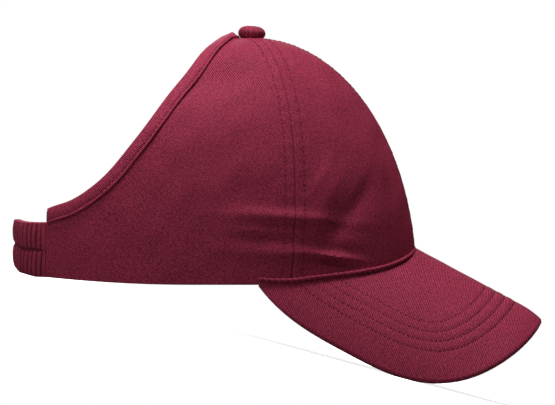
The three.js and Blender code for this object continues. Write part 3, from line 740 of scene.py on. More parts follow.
# room for the bend outside the cloth's edge, and how far its inner face passes the cloth's
FOLD_ROOM, INNER_FOLD = 0.15, 0.8 * TAPE_CLEARANCE
turn_over = [tape_fold((out_by + FOLD_ROOM) * math.cos(lean),
                       CLOTH / 2 - (CLOTH / 2 + out_by) * math.sin(lean))
             for lean in np.radians([60, 35, 12, -12, -35, -60])]
turn_back = [tape_fold(TAPE_CLEARANCE, depth)
             for depth in np.linspace(CLOTH + INNER_FOLD, -INNER_FOLD, 3)]
tape_rings = np.concatenate(
    [tape_leg(legs, -out_by, tape_relief)] + turn_over
    + [tape_leg(legs[:, ::-1], under_by + TAPE, tape_inner_relief), tape_leg(legs, under_by)]
    + turn_back + [tape_leg(legs[:, ::-1], -TAPE_CLEARANCE)], axis=1)
tape_girth = length_along(tape_rings[len(tape_along) // 4])
# the tape's two ends are cut upright, a gap in front of the band
tape_rings[..., 0] = np.maximum(tape_rings[..., 0], BACK_END + GAP)
binding = make_rings("binding_cloth", tape_rings, cloth_grid(tape_run, tape_girth))

# %% [markdown]
# ## The gathered band
# Behind the head the cloth is gathered over elastic in two channels, with a line of stitches
# between them. The elastic pulls the cloth into upright ribs: round on top, with a sharp crease
# between two. Each rib is a little different, and the ribs lean, the lower ones more.

# %% Sizes of the gathered band
band_half = HALF_LENGTH - BAND_INSET
band_turn = math.acos((GAP - BACK_END) / band_half)
# length of the band's arc, as a multiple of its half turn and half length
BAND_ARC = 1.7
ribs = round(BAND_ARC * band_turn * band_half / RIB_PITCH)
RIB_COLUMNS = 18
# share by which each end runs on under the side panel, and how far in it goes there
TUCK, TUCK_DEPTH = 1.045, 1.45
# the stitched line between the channels: its depth, and its width as a share of the height
PINCH_DEPTH, PINCH_WIDTH = 0.5, 0.035
band_way = np.linspace(-TUCK, TUCK, ribs * RIB_COLUMNS + 1)[:, None]
band_near = bell(band_way, 1, 0, 0.42)
band_low = HEM_RISE + BAND_ARCH * band_near
band_high = HEM_RISE + BAND_HEIGHT + BAND_CREST * band_near
band_fade = smooth(1 - np.abs(band_way), 0.03, 0.065)
band_tuck = TUCK_DEPTH * smooth(np.abs(band_way), 0.985, 1.0)
rib_draw = np.random.default_rng(11)
rib_sizes = rib_draw.uniform(0.7, 1.25, (2, ribs + 2))
rib_shifts = rib_draw.uniform(-0.14, 0.14, (2, ribs + 2))
print(ribs, "ribs in a channel, the band turns", round(math.degrees(2 * band_turn)), "degrees")


# %% Ribs
# lean of the ribs in the lower and the upper channel, and shift between the two, in ribs
LOWER_LEAN, UPPER_LEAN, CHANNEL_SHIFT = -0.55, 0.28, 0.35
# the cloth's ribs are this much deeper than the solid's
RIB_EXTRA = 1.5


def rib_relief(way, rise):
    """Height and shade of ribs: |sin|^0.8 has round tops and sharp creases.

    Ribs differ in size and place, are flatter at the stitches, and get painted shade in the
    creases."""
    lower = (rise < 0.5).astype(int)
    lean = np.where(rise < 0.5, LOWER_LEAN * (0.5 - rise), UPPER_LEAN * (rise - 0.5))
    count = ribs * (np.clip(way, -1, 1) + 1) / 2 - lean * np.sign(way) + CHANNEL_SHIFT * lower
    at = np.clip(np.floor(count), 0, ribs).astype(int)
    inside = count - at + rib_shifts[lower, at] * np.sin(math.pi * (count - at))
    crease = np.abs(np.sin(math.pi * np.clip(inside, 0, 1))) ** 0.8
    from_pinch = np.minimum(np.abs(rise - 0.5) / 0.1, 1)
    depth = RIB_DEPTH * RIB_EXTRA * rib_sizes[lower, at] * blend(0.55, 1, from_pinch)
    return depth * (crease - 0.85), bell(crease, 1, 0, 0.5)


def band_points(rises_up, depth, relief):
    """Arc of an ellipse at each height, moved out by channel and ribs."""
    height = blend(band_low, band_high, rises_up)
    side_up = up_of(climb(np.full(height.shape, 150.0), lambda spot: spot[..., 2] < height))
    across = np.abs(wall(back_cut(side_up))[..., 1]) / math.sin(band_turn)
    channel = CHANNEL_BULGE * (np.abs(np.sin(2 * math.pi * rises_up)) ** 0.7 - 0.45)
    channel = channel - bell(rises_up, PINCH_DEPTH, 0.5, PINCH_WIDTH)
    out = (channel + rib_relief(band_way, rises_up)[0]) * band_fade * relief - depth - band_tuck
    turn = band_way * band_turn
    return np.stack([-(band_half + out * (1 - np.minimum(1, band_way ** 6))) * np.cos(turn),
                     (across + out) * np.sin(turn), height * np.ones_like(out)], axis=-1)


# height of the rounded edges as a share of the band's, and the shares of relief on them
BAND_ROUNDING, OUTER_SHARE, INNER_SHARE = 0.012, 0.8, 0.4


def band_edge(level, way):
    """Half a round over the upper or the lower edge, from the outer face to the inner one."""
    return [band_points(np.array([[level + way * BAND_ROUNDING * math.sin(turn)]]),
                        BAND_THICKNESS * (1 - math.cos(turn)) / 2,
                        OUTER_SHARE if turn < 1.7 else INNER_SHARE)
            for turn in np.radians([20, 55, 90, 125, 160])]


# %% Gathered band
outside_rises, inside_rises = np.linspace(0.02, 0.98, 61), np.linspace(0.97, 0.03, 25)
band_rings = np.concatenate([band_points(outside_rises[None, :], 0, 1.0)] + band_edge(1.0, 1)
                            + [band_points(inside_rises[None, :], BAND_THICKNESS, 0.35)]
                            + band_edge(BAND_ROUNDING, -1)[::-1], axis=1)
# cloth that would reach below the floor is pressed flat on it, as where the cap rests
floor_up = np.array([AT_REST_X[2], 0, AT_REST_Z[2]])
pressed = np.maximum(0, -SHIFT[2] - band_rings @ floor_up)
band_rings = band_rings + pressed[..., None] * floor_up
# length of cloth that is gathered into one length of band
GATHER = 1.9
band_run = GATHER * length_along(band_points(np.array([[0.25]]), 0, 0.0)[:, 0])
# painted shade in the ribs' creases and along the stitched line between the channels
band_shade = np.zeros(band_rings.shape[:2])
band_shade[:, :outside_rises.size] = band_fade * np.maximum(
    0.95 * rib_relief(band_way, outside_rises[None, :])[1],
    bell(outside_rises[None, :], 0.75, 0.5, PINCH_WIDTH))
band = make_rings("gathered_band", band_rings, cloth_grid(band_run, length_along(band_rings[7])),
                  70, band_shade)

# %% [markdown]
# ## The peak
# The peak is two layers of twill over a stiff board, with four rows of stitches that follow
# its edge. Its two faces are the flat pattern rolled over the arch. The stitches press shallow
# grooves, and the cloth between the rows swells a little.

# %% Outline of the peak
def peak_root(around, depth):
    """Just outside the wall, where the peak's face at that depth meets it."""
    return peak_pattern(wall(meets_peak(around, depth), GAP), depth)


def inward(line, way):
    """The way along the pattern's edge, turned a quarter towards the pattern's middle."""
    across = np.stack([-way[:, 1], way[:, 0]], axis=-1)
    return np.where(np.sum(across * line, axis=-1, keepdims=True) > 0, -across, across)


PEAK_COLUMNS, PEAK_ROWS = 300, 110
peak_way = np.linspace(-1, 1, PEAK_COLUMNS + 1)
peak_turn = peak_way * CORNER_TURN
edge_line = peak_edge(peak_turn)
edge_way = unit(peak_edge(peak_turn + 0.003) - peak_edge(peak_turn - 0.003))
edge_in = inward(edge_line, edge_way)
# the peak grows thinner over this share of its way to each corner
CORNER_SHARE = 0.2
peak_thick = PEAK_THICKNESS * blend(CORNER_TAPER, 1, smooth(1 - np.abs(peak_way), 0, CORNER_SHARE))
root_top = peak_root(peak_way * CORNER_AROUND, np.zeros(PEAK_COLUMNS + 1))
root_under = peak_root(peak_way * CORNER_AROUND, peak_thick)
edge_round = np.minimum(peak_thick / 2, 0.3 * np.linalg.norm(edge_line - root_top, axis=-1))
last_line = edge_line + edge_in * edge_round[:, None]
print("peak", round(np.ptp(edge_line[:, 0])), "mm round its arch,", round(edge_line[:, 1].max(), 1),
      "mm long")

# %% Stitch rows of the peak
ROW_FIRST, ROW_GAP, ROW_COUNT = 17.0, 5.5, 4
ROW_OFFSETS = ROW_FIRST + ROW_GAP * np.arange(ROW_COUNT)
row_turns = np.linspace(-CORNER_TURN, CORNER_TURN, 1600)
row_edge = peak_edge(row_turns)
row_in = inward(row_edge, unit(np.gradient(row_edge, axis=0)))
print("stitch rows", ROW_OFFSETS, "mm from the peak's edge")


def from_edge(pattern):
    """Least distance from pattern places to the outer edge, over every fourth sample of it."""
    flat = pattern.reshape(-1, 2)
    best = np.full(len(flat), 1e9)
    for part in np.array_split(row_edge[::4], 8):
        best = np.minimum(best, np.linalg.norm(flat[:, None] - part[None], axis=-1).min(axis=1))
    return best.reshape(pattern.shape[:-1])


def row_pull(pattern):
    """How hard the rows draw the cloth in: fully in front, and less towards the corners."""
    return blend(0.3, 1.0, smooth(pattern[..., 1], 22, 58))


def peak_relief(pattern):
    """Grooves under the stitch rows, a little fullness between them, soft waves elsewhere."""
    away, drawn = from_edge(pattern), row_pull(pattern)
    relief = 0.10 * soft_waves(pattern[..., 0], pattern[..., 1], 40)
    relief = relief - drawn * sum(bell(away, 0.30, offset, 0.6) for offset in ROW_OFFSETS)
    between = 1 - np.cos(2 * math.pi * (away - ROW_FIRST) / ROW_GAP)
    among = (smooth(away, ROW_FIRST, ROW_FIRST + 0.5)
             * (1 - smooth(away, ROW_OFFSETS[-1] - 0.5, ROW_OFFSETS[-1])))
    return (relief + 0.09 * drawn * between * among) * smooth(away, 1.0, 6.0)


def row_shade(pattern):
    """Close shadow in the grooves of the stitch rows, from 0 to 1."""
    away = from_edge(pattern)
    return row_pull(pattern) * sum(bell(away, 0.4, offset, 0.5) for offset in ROW_OFFSETS)


def peak_face(root, depth, sign):
    """Straight lines of the pattern from root to edge, rolled at that depth."""
    part = np.linspace(0, 1, PEAK_ROWS)[None, :, None]
    pattern = blend(root[:, None], last_line[:, None], part)
    sunk = depth[:, None] - sign * peak_relief(pattern) * smooth(peak_thick[:, None], 1.0, 3.0)
    return peak_point(pattern[..., 0], pattern[..., 1], sunk), pattern


# %% Peak
# leans of the rim's rings, and the fine dip in its middle, where the two layers of cloth meet
RIM_LEANS, RIM_DIP, RIM_DIP_LEAN = np.radians([68, 45, 22, 4, -4, -22, -45, -68]), 0.22, 0.1
top_face, top_pattern = peak_face(root_top, np.zeros(PEAK_COLUMNS + 1), 1)
under_face, under_pattern = peak_face(root_under, peak_thick, -1)
rim = []
for lean in RIM_LEANS:
    dip = RIM_DIP if abs(lean) < RIM_DIP_LEAN else 0.0
    spot = edge_line + edge_in * (edge_round * (1 - math.cos(lean)) + dip)[:, None]
    rim.append(peak_point(spot[:, 0], spot[:, 1], peak_thick * (1 - math.sin(lean)) / 2)[:, None])
peak_rings = np.concatenate([top_face] + rim + [under_face[:, ::-1]], axis=1)
rim_cloth = np.repeat(edge_line[:, None], len(rim), axis=1)
peak_cloth = np.concatenate([top_pattern, rim_cloth, under_pattern[:, ::-1]], axis=1)
# painted shadow in the grooves of the stitch rows, on both faces
peak_shade = np.concatenate([row_shade(top_pattern), np.zeros(rim_cloth.shape[:2]),
                             row_shade(under_pattern[:, ::-1])], axis=1)
peak = make_rings("peak_cloth", peak_rings, peak_cloth, shade=peak_shade)

# %% [markdown]
# ## The welt
# In the seam between crown and peak lies a thin roll of bias-cut cloth. The machine's needle
# pulls it in at every stitch, so that it looks a little like a twisted cord. The roll is a
# circle carried along the seam, and its radius breathes with a slanting wave.

# %% Line of the welt
# a little slimmer than the solid that stands for it
WELT_RADIUS, WELT_GAP = 0.36 * WELT_DIAMETER, 0.03


def welt_radius(around):
    """Full at the sides, and much thinner in front, where the crown's cloth bears on it."""
    return WELT_RADIUS * blend(0.25, 1.0, smooth(np.abs(around), 2, 26))


def peak_up(roll):
    """Way out of the peak's top face at a roll round the arch: its radius, tipped forward."""
    return np.stack([np.cos(roll) * math.sin(PEAK_SLOPE), np.sin(roll),
                     np.cos(roll) * math.cos(PEAK_SLOPE)], axis=-1)


def welt_line(around):
    """Middle of the roll: out from the corner between wall and peak by its radius and a gap."""
    spot = meets_peak(around)
    corner, out = wall(spot), dome_normal(spot)
    up = peak_up(np.arcsin(np.clip(corner[..., 1] / ARCH_RADIUS, -1, 1)))
    lean = np.sum(out * up, axis=-1, keepdims=True)
    return corner + (out + up) * (welt_radius(around)[:, None] + WELT_GAP) / (1 + lean), out


# %% Welt
WELT_COLUMNS, WELT_SIDES = 1100, 24
# pitch of the needle's pull, its slant round the roll, and how deep it pulls as a share
WELT_PITCH, WELT_SLANT, WELT_PULL = 3.1, 1.1, 0.15
welt_share = np.linspace(0, 1, WELT_COLUMNS + 1)
welt_end = CORNER_AROUND + 0.3
welt_around = blend(-welt_end, welt_end, welt_share)
welt_middle, welt_out = welt_line(welt_around)
welt_way = unit(np.gradient(welt_middle, axis=0))
welt_side = unit(welt_out - welt_way * np.sum(welt_out * welt_way, axis=-1, keepdims=True))
welt_top = np.cross(welt_way, welt_side)
welt_run = length_along(welt_middle)
welt_turns = 2 * math.pi * np.linspace(0, 1, WELT_SIDES, endpoint=False)
# the roll tapers off within a few thousandths of its length at both ends
welt_ends = smooth(np.minimum(welt_share, 1 - welt_share), -0.004, 0.006)
run, slant = welt_run[:, None], WELT_SLANT * np.sin(welt_turns)
pull = np.sin(2 * math.pi * run / WELT_PITCH - slant)
uneven = 0.7 + 0.3 * np.sin(run * 0.37)
welt_size = (welt_radius(welt_around) * welt_ends)[:, None] * (1 + WELT_PULL * pull * uneven)
beside, above = welt_size * np.cos(welt_turns), welt_size * np.sin(welt_turns)
welt_rings = (welt_middle[:, None] + welt_side[:, None] * beside[..., None]
              + welt_top[:, None] * above[..., None])
# painted shade in the valleys where the needle pulls the roll in
welt = make_rings("welt_cloth", welt_rings, cloth_grid(welt_run, welt_turns * WELT_DIAMETER / 2),
                  70, bell(pull, 0.35, -1, 0.5))

# %% [markdown]
# ## The button
# Twill is stretched over a metal shell and tucked in under it. The face is a low dome, and
# near its rim the cloth gathers in small pleats. Under the panels' tips sits the clinched
# washer, which is part of the same piece.

# %% Button
BUTTON_ROUND, BUTTON_NOD = 120, math.radians(4)
# widest place and rim's tuck, as shares of the height, and the turn at which the tuck ends
WIDEST_SHARE, RIM_TUCK, TUCK_TURN = 0.36, 0.62, math.radians(62)
# the panels' turned-in tips lie between button and washer, and each pole is closed this small
TIPS, POLE, SHANK_TOP = 0.95, 0.01, -1.5
# pleats: their depth, and the width of the belt that they lie in
PLEAT_DEPTH, PLEAT_BELT = 0.09, 1.3
section = np.linspace(-TUCK_TURN, math.pi / 2, 40)
section_out = BUTTON_DIAMETER / 2 * np.cos(section) ** 0.72
section_up = BUTTON_HEIGHT * np.where(
    section > 0, blend(WIDEST_SHARE, 1, np.sin(section)),
    WIDEST_SHARE + RIM_TUCK * np.sin(section) / math.sin(TUCK_TURN))
clinch_top = -(CLOTH + TIPS + 2 * GAP)
clinch_low, clinch_side = clinch_top - CLINCH_THICKNESS, CLINCH_DIAMETER * 0.4
washer_out = [POLE, clinch_side, CLINCH_DIAMETER / 2, clinch_side, SHANK_DIAMETER / 2,
              SHANK_DIAMETER / 2]
washer_up = [clinch_low, clinch_low, (clinch_low + clinch_top) / 2, clinch_top, clinch_top,
             SHANK_TOP]
outs, ups = np.concatenate([washer_out, section_out]), np.concatenate([washer_up, section_up])
outs[-1] = POLE
turns = 2 * math.pi * np.linspace(0, 1, BUTTON_ROUND, endpoint=False)
pleats = np.sin(9 * turns + 0.6 * np.sin(2 * turns)) + 0.6 * np.sin(14 * turns + 1)
outs = outs[:, None] + bell(ups, PLEAT_DEPTH, 0.25 * BUTTON_HEIGHT, PLEAT_BELT)[:, None] * pleats
ups = ups[:, None]
ahead, left = outs * np.cos(turns), outs * np.sin(turns)
nod = math.sin(BUTTON_NOD)
button_rings = np.stack([APEX_FORWARD + ahead + ups * nod, left, BUTTON_SEAT + ups - ahead * nod],
                        axis=-1)
# the stretched cloth's ribs look finer by this much
STRETCH = 1.3
button = make_rings("button_cloth", button_rings, STRETCH * np.stack([ahead, left], axis=-1), 60)

# %% [markdown]
# ## Stitches
# The crown's thread has the cloth's colour, and the peak's is a little darker. Each visible
# stitch is a short bent capsule whose ends dip into the needle holes, so a row looks like a row
# of stitches from any side. One function places a whole row: it takes points, which also give
# the way along, and the way out of the cloth.

# %% Stitch maker
STITCH_LENGTH, THREAD_RADIUS = 1.75, 0.24
# rings of one stitch: their place from end to end, and the share of the thread's radius there
STITCH_WAY = np.array([-1, -0.82, -0.4, 0, 0.4, 0.82, 1])[:, None]
STITCH_SHARE = np.array([0.35, 0.8, 1, 1, 1, 0.8, 0.35])[:, None]
STITCH_SIDES = 6
stitch_turns = 2 * math.pi * np.arange(STITCH_SIDES) / STITCH_SIDES
one_stitch = ring_faces(len(STITCH_WAY), STITCH_SIDES)
print("one stitch has", len(one_stitch) * 2, "triangles")


def spaced(line, pitch):
    """Points every pitch along a finely drawn line, as fractions of its samples."""
    run = length_along(line)
    return np.interp(np.arange(pitch / 2, run[-1], pitch), run, np.arange(len(line)))


def take(line, at):
    """Values of a sampled line between its samples."""
    return np.stack([np.interp(at, np.arange(len(line)), values) for values in line.T], axis=-1)


def stitch_row(line, out, pitch=STITCH_PITCH, length=STITCH_LENGTH, lift=0.02):
    """A bent capsule at each spaced point: an arch along the row, with a round section."""
    at = spaced(line, pitch)
    middle, out = take(line, at), unit(take(out, at))
    along = unit(take(np.gradient(line, axis=0), at))
    side = unit(np.cross(out, along))
    forward = STITCH_WAY * length / 2 + 0 * stitch_turns
    arch = lift + THREAD_RADIUS * (0.5 - 1.5 * STITCH_WAY ** 2)
    upward = arch + THREAD_RADIUS * STITCH_SHARE * np.sin(stitch_turns)
    sideways = THREAD_RADIUS * STITCH_SHARE * np.cos(stitch_turns)
    return sum(way[:, None, None] * reach[..., None] for way, reach in (
        (along, forward), (out, upward), (side, sideways))) + middle[:, None, None]


def stitch_mesh(name, rows):
    """All rows of one seam as one mesh of closed capsules."""
    stitches = np.concatenate(rows)
    firsts = np.arange(len(stitches)) * stitches[0, ..., 0].size
    faces = (one_stitch[None] + firsts[:, None, None]).reshape(-1, 4)
    cloth = np.linspace(0, 1.8, len(STITCH_WAY))[:, None, None] * [1, 0.4]
    return make_mesh(name, stitches, faces, np.broadcast_to(cloth, stitches.shape[:3] + (2,)), 180)


# %% Stitches of the crown
# degrees up at which the rows end under the button, how far over the peak they start, and the
# level of the inner thread, below the turned-in cloth
ROWS_END_UP, ROWS_START, INNER_THREAD = 83.5, 1.5, -CLOTH - 0.42


def line_beside(base_around, offset, up_low, rise):
    """A line that keeps a distance from a seam, and the way out of the cloth along it."""
    up = np.linspace(up_low, ROWS_END_UP, 500)
    base = base_around(up)
    place = on_disc(base + offset / mm_per_degree(base, up), up)
    if rise == 0:
        along = height_on_cloth(up) + STITCH_PITCH / 2
        rise = seam_relief(np.full(up.shape, SEAM_TOPSTITCH), along)
    return wall(place, rise), dome_normal(place)


def mirrored(pair):
    """The same line on the right side of the cap."""
    line, out = pair
    return line * [1, -1, 1], out * [1, -1, 1]


crown_rows = []
seam_foot, front_foot = (float(up_of(meets_peak(around))) + ROWS_START
                         for around in (SEAM_ANGLE, 0.0))
for offset in (-SEAM_TOPSTITCH, SEAM_TOPSTITCH):
    for rise, sign in ((0, 1), (INNER_THREAD, -1)):
        pair = line_beside(seam_around, offset, seam_foot, rise)
        middle = line_beside(lambda up: 0 * up, offset, front_foot, rise)
        for line, out in (pair, mirrored(pair), middle):
            crown_rows.append(stitch_row(line, out * sign))
crown_stitches = stitch_mesh("crown_stitches", crown_rows)

# %% Stitches of the binding and the band
tape_part = (1 - TAPE_STITCH / tape_wide)[:, None]
outer_thread = tape_leg(tape_part, -out_by, tape_relief)[:, 0]
inner_thread = tape_leg(tape_part, under_by + TAPE, tape_inner_relief)[:, 0]
tape_sides = [tape_along * side > 0 for side in (-1, 1)]
tape_rows = [stitch_row(thread[keep], tape_normal[keep] * sign, lift=0.08)
             for keep in tape_sides for thread, sign in ((outer_thread, 1), (inner_thread, -1))]
binding_stitches = stitch_mesh("binding_stitches", tape_rows)

pinch_line = band_points(np.array([[0.5]]), 0, 1.0)[6:-6, 0]
band_rows = [stitch_row(pinch_line, unit(pinch_line * [1, 1, 0]), pitch=2.3, length=1.7, lift=0.15)]
band_stitches = stitch_mesh("band_stitches", band_rows)

# %% Stitches of the peak
# depth of the thread in its groove, distance kept from the root, and how much nearer to the
# edge a point of a row may lie before it counts as folded over at a corner
ROW_SUNK, ROW_ROOT, ROW_FOLDED = 0.24, 3.0, 0.4
peak_rows = []
order = np.argsort(root_top[:, 0])
for offset in ROW_OFFSETS:
    row = row_edge + row_in * offset
    row_root = np.interp(row[:, 0], root_top[order, 0], root_top[order, 1])
    row = row[(from_edge(row) > offset - ROW_FOLDED) & (row[:, 1] > row_root + ROW_ROOT)]
    out = peak_up(row[:, 0] / ARCH_RADIUS)
    for depth, sign in ((0.0, 1), (PEAK_THICKNESS, -1)):
        line = peak_point(row[:, 0], row[:, 1], depth + sign * ROW_SUNK)
        peak_rows.append(stitch_row(line, out * sign, pitch=2.4))
peak_stitches = stitch_mesh("peak_stitches", peak_rows)

# %% [markdown]
# ## Cotton twill
# Twill is woven so that its threads show as fine diagonal ribs, here about 0.85 mm apart. The
# cloth is dyed in the piece, so its colour is even, with a slightly darker line between two
# ribs. Cotton has hardly any gloss: a high roughness, a low specular level, and a little sheen
# from the loose fibre ends. The weave is drawn on each piece's own cloth map.

# %% Colours and nodes
def linear(code):
    """sRGB hex to linear: c/12.92 below 0.04045, else ((c + 0.055) / 1.055)^2.4."""
    parts = [int(code[at:at + 2], 16) / 255 for at in (1, 3, 5)]
    return tuple(c / 12.92 if c <= 0.04045 else ((c + 0.055) / 1.055) ** 2.4
                 for c in parts) + (1.0,)


def add(tree, kind, settings=None, inputs=None):
    """One node with its properties, and its inputs set to values or linked to sockets."""
    made = tree.nodes.new(kind)
    for name, value in (settings or {}).items():
        setattr(made, name, value)
    for name, value in (inputs or {}).items():
        if isinstance(value, bpy.types.NodeSocket):
            tree.links.new(value, made.inputs[name])
        else:
            made.inputs[name].default_value = value
    return made


# %% Twill
# a diagonal band wave of scale 1 repeats every 0.444 m
DIAGONAL_WAVE = 0.444
# threads and slubs are nearly as wide as a rib and nearly twice as wide, and the dye's clouds
# are 16 mm across
THREAD_WIDE, SLUB_WIDE, DYE_CLOUD_MM = 0.9, 1.7, 16


def twill(name, light, dark, rib_mm=0.85, relief=0.5, rough=0.62, turn=0.0):
    """Diagonal ribs with broken threads: a band wave times noise, for colour and for bump."""
    made = bpy.data.materials.new(name)
    made.use_nodes = True
    tree = made.node_tree
    tree.nodes.clear()
    cloth = add(tree, "ShaderNodeUVMap", {"uv_map": "cloth"})
    grain = add(tree, "ShaderNodeMapping", None, {"Vector": cloth.outputs["UV"],
                                                 "Rotation": (0, 0, turn)})

    def noise(width_mm, **more):
        inputs = {"Vector": grain.outputs["Vector"], "Scale": 1000 / width_mm, **more}
        return add(tree, "ShaderNodeTexNoise", None, inputs).outputs["Fac"]

    ribs_wave = add(tree, "ShaderNodeTexWave",
                    {"wave_type": "BANDS", "bands_direction": "DIAGONAL"},
                    {"Vector": grain.outputs["Vector"], "Scale": DIAGONAL_WAVE * 1000 / rib_mm,
                     "Distortion": 3.2, "Detail": 2.5, "Detail Scale": 1.6})
    threads = noise(rib_mm * THREAD_WIDE, Detail=3.0, Roughness=0.7)
    slubs, dye = noise(rib_mm * SLUB_WIDE, Detail=2.0), noise(DYE_CLOUD_MM, Detail=3.0)
    height = add(tree, "ShaderNodeMath", {"operation": "MULTIPLY"},
                 {0: ribs_wave.outputs["Fac"], 1: threads})
    speckle = add(tree, "ShaderNodeMath", {"operation": "MULTIPLY_ADD"},
                  {0: slubs, 1: 0.55, 2: height.outputs[0]})
    tone = add(tree, "ShaderNodeMath", {"operation": "MULTIPLY_ADD"},
               {0: dye, 1: 0.12, 2: speckle.outputs[0]})
    ramp = add(tree, "ShaderNodeMapRange", None,
               {"Value": tone.outputs[0], "From Min": 0.37, "From Max": 0.85})
    even = add(tree, "ShaderNodeMix", {"data_type": "RGBA"},
               {0: ramp.outputs["Result"], 6: linear(dark), 7: linear(light)})
    # painted shade: the mesh's shade attribute mixes the colour towards near-black in creases,
    # seams, grooves and needle holes
    crease = add(tree, "ShaderNodeAttribute", {"attribute_name": "shade"})
    colour = add(tree, "ShaderNodeMix", {"data_type": "RGBA"},
                 {0: crease.outputs["Fac"], 6: even.outputs[2], 7: linear("#1E060D")})
    bump = add(tree, "ShaderNodeBump", None, {"Strength": relief, "Distance": 0.00035,
                                              "Height": height.outputs[0]})
    shader = add(tree, "ShaderNodeBsdfPrincipled", None,
                 {"Base Color": colour.outputs[2], "Roughness": rough, "Specular IOR Level": 0.06,
                  "Sheen Weight": 0.1, "Sheen Roughness": 0.45, "Sheen Tint": linear("#D83C5C"),
                  "Specular Tint": linear("#E08A9C"), "Normal": bump.outputs["Normal"]})
    add(tree, "ShaderNodeOutputMaterial", None, {"Surface": shader.outputs["BSDF"]})
    return made


# %% Cloths and threads
# the peak's board is covered with twill that lies turned against the crown's
crown_twill = twill("crown cotton twill", "#B03E59", "#551727")
peak_twill = twill("peak cotton twill", "#AE3D58", "#5B1A2B", turn=math.radians(-38))
# the tape is cut on the bias, so that it bends round the opening, and its ribs lie turned
tape_twill = twill("bias cut twill tape", "#B8435E", "#621D30", turn=math.radians(40))
rib_twill = twill("gathered cotton twill", "#B8425C", "#5E1B2D", turn=math.radians(90))
button_twill = twill("stretched cotton twill", "#AC4058", "#621F31")
# twisted thread has finer and flatter ribs than the twill, and a more even colour
spun = {"rib_mm": 0.5, "relief": 0.3, "rough": 0.7}
thread = twill("burgundy sewing thread", "#903349", "#6A2236", **spun)
peak_thread = twill("dark burgundy sewing thread", "#702438", "#431523", **spun)
print("materials:", [m.name for m in bpy.data.materials])

# %% [markdown]
# ## Dressing the frame
# Each piece rides on the cap's only body and gets its material, and the plain solid it
# was drawn over is hidden.

# %% Rides, materials and hidden solids
pieces = [
    (front_panels[0], "front_panel_left", "panel_twill", crown_twill),
    (front_panels[1], "front_panel_right", "panel_twill", crown_twill),
    (side_panels[0], "side_panel_left", "panel_twill", crown_twill),
    (side_panels[1], "side_panel_right", "panel_twill", crown_twill),
    (binding, "opening_binding", "binding_twill", tape_twill),
    (band, "back_elastic", "gathered_twill", rib_twill),
    (peak, "peak", "peak_twill", peak_twill),
    (welt, "peak_welt", "binding_twill", tape_twill),
    (button, "top_button", "button_twill", button_twill),
    (crown_stitches, None, "panel_twill", thread),
    (binding_stitches, None, "binding_twill", thread),
    (band_stitches, None, "gathered_twill", thread),
    (peak_stitches, None, "peak_twill", peak_thread),
]
for piece, solid, slot, material in pieces:
    piece.data.materials.append(material)
    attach(piece, "root")
    if solid:
        low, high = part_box(solid)
        corners = np.array([corner.co for corner in piece.data.vertices])
        print(solid, "beyond its solid by mm, low and high:",
              ((np.array(low) - corners.min(axis=0)) * 1000).round(2),
              ((corners.max(axis=0) - np.array(high)) * 1000).round(2))
        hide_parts(solid)

# %% [markdown]
# ## The studio
# The floor is pale and matt, and fades out towards its rim. The key light is a soft box above
# the cap, so the top of the crown is bright and the low wall is dark. Weaker boxes stand behind
# and in front on the camera's side, a fill shines from the camera's direction, and one on the
# far side lights the hidden half. The camera stands far off with a long lens, square to the
# level cap as in the photograph, and so it is rolled by the rest angle.

# %% Floor
FLOOR_RADIUS, FLOOR_CLEAR, FLOOR_CORNERS = 1.3, 0.2, 96
# the camera sees a bright floor, and the cap gets only this much light back from it
FLOOR_GLOW, FLOOR_BOUNCE = 0.8, 0.2
floor_turns = np.linspace(0, 2 * math.pi, FLOOR_CORNERS, endpoint=False)
floor_ring = np.stack([np.cos(floor_turns), np.sin(floor_turns), 0 * floor_turns], axis=-1)
floor_mesh = bpy.data.meshes.new("floor")
floor_mesh.from_pydata((floor_ring * FLOOR_RADIUS).tolist(), [], [list(range(FLOOR_CORNERS))])
floor_paint = bpy.data.materials.new("pale matt studio floor")
floor_paint.use_nodes = True
floor_mesh.materials.append(floor_paint)
paint = floor_paint.node_tree
seen_floor = paint.nodes["Principled BSDF"]
for name, value in (("Base Color", linear("#F4F2F0")), ("Roughness", 0.9),
                    ("Specular IOR Level", 0.1), ("Emission Color", (1, 1, 1, 1)),
                    ("Emission Strength", FLOOR_GLOW)):
    seen_floor.inputs[name].default_value = value
seen = add(paint, "ShaderNodeLightPath")
bounce = add(paint, "ShaderNodeBsdfDiffuse", None, {"Color": (FLOOR_BOUNCE,) * 3 + (1,)})
look = add(paint, "ShaderNodeMixShader", None,
           {0: seen.outputs["Is Camera Ray"], 1: bounce.outputs[0], 2: seen_floor.outputs[0]})
place = add(paint, "ShaderNodeTexCoord")
away = add(paint, "ShaderNodeVectorMath", {"operation": "LENGTH"}, {0: place.outputs["Object"]})
fade = add(paint, "ShaderNodeMapRange", {"interpolation_type": "SMOOTHSTEP"},
           {"Value": away.outputs["Value"], "From Min": FLOOR_CLEAR, "From Max": FLOOR_RADIUS})
clear = add(paint, "ShaderNodeBsdfTransparent")
faded = add(paint, "ShaderNodeMixShader", None,
            {0: fade.outputs["Result"], 1: look.outputs[0], 2: clear.outputs[0]})
paint.links.new(faded.outputs[0], paint.nodes["Material Output"].inputs["Surface"])
floor = bpy.data.objects.new("floor", floor_mesh)
bpy.context.scene.collection.objects.link(floor)
print("floor", FLOOR_RADIUS * 2, "m across")

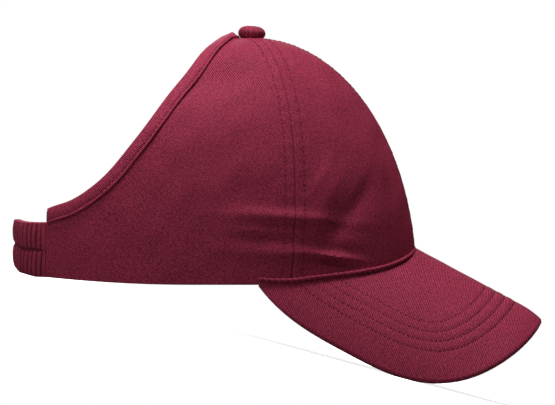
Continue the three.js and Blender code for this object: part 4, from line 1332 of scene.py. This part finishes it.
# %% World
world = bpy.data.worlds.new("studio")
world.use_nodes = True
bpy.context.scene.world = world
sky = world.node_tree
seen = add(sky, "ShaderNodeLightPath")
white = add(sky, "ShaderNodeBackground", None, {"Color": (1, 1, 1, 1), "Strength": 1.0})
dim = add(sky, "ShaderNodeBackground", None, {"Color": (0.95, 0.97, 1, 1), "Strength": 0.02})
both = add(sky, "ShaderNodeMixShader", None, {0: seen.outputs["Is Camera Ray"],
                                              1: dim.outputs[0], 2: white.outputs[0]})
sky.links.new(both.outputs[0], sky.nodes["World Output"].inputs["Surface"])

# %% Lights
def aim(made, place, target, up=AT_REST_Z):
    """Put an object at a place of the level frame and turn its -Z towards the target."""
    start, end = Vector(at_rest(place)), Vector(at_rest(target))
    back = (start - end).normalized()
    side = Vector(up).cross(back).normalized()
    matrix = Matrix((side, back.cross(side), back)).transposed().to_4x4()
    matrix.translation = start
    made.matrix_world = matrix


LIT_PLACE, LIGHT_UP = np.array([20.0, 0, 60.0]), np.array([0.1, 1.0, 0.05])
# name, place in mm of the level frame, side in m, and power
for name, place, size, power in (("key", (60, -40, 1300), 0.5, 21),
                                 ("second key", (-500, -600, 1000), 0.5, 3.5),
                                 ("back side", (-1000, -900, 400), 0.5, 1.9),
                                 ("front side", (1000, -900, 400), 0.5, 0.8),
                                 ("fill", (0, -1500, 150), 0.5, 1.0),
                                 ("far side", (-300, 1300, 500), 0.8, 6.0)):
    light = bpy.data.lights.new(name, "AREA")
    light.size, light.energy = size, power
    made = bpy.data.objects.new(name, light)
    bpy.context.scene.collection.objects.link(made)
    made.visible_camera = False
    aim(made, np.array(place, float), LIT_PLACE, LIGHT_UP)
print("lights:", [light.name for light in bpy.data.lights])

# %% Camera
PHOTO_PIXELS_WIDE, PIXEL_MM = 555, 0.5
picture_middle = np.array([32.0, 0, 40.75])
camera_data = bpy.data.cameras.new("camera")
camera_data.lens, camera_data.sensor_width, camera_data.clip_end = 900, 36, 100
camera = bpy.data.objects.new("camera", camera_data)
bpy.context.scene.collection.objects.link(camera)
far = PHOTO_PIXELS_WIDE * PIXEL_MM * camera_data.lens / camera_data.sensor_width
aim(camera, picture_middle - [0, far, 0], picture_middle)
bpy.context.scene.camera = camera
bpy.context.scene.view_settings.view_transform = "Standard"
print("camera", [round(v, 3) for v in camera.location], "at mm", round(far))
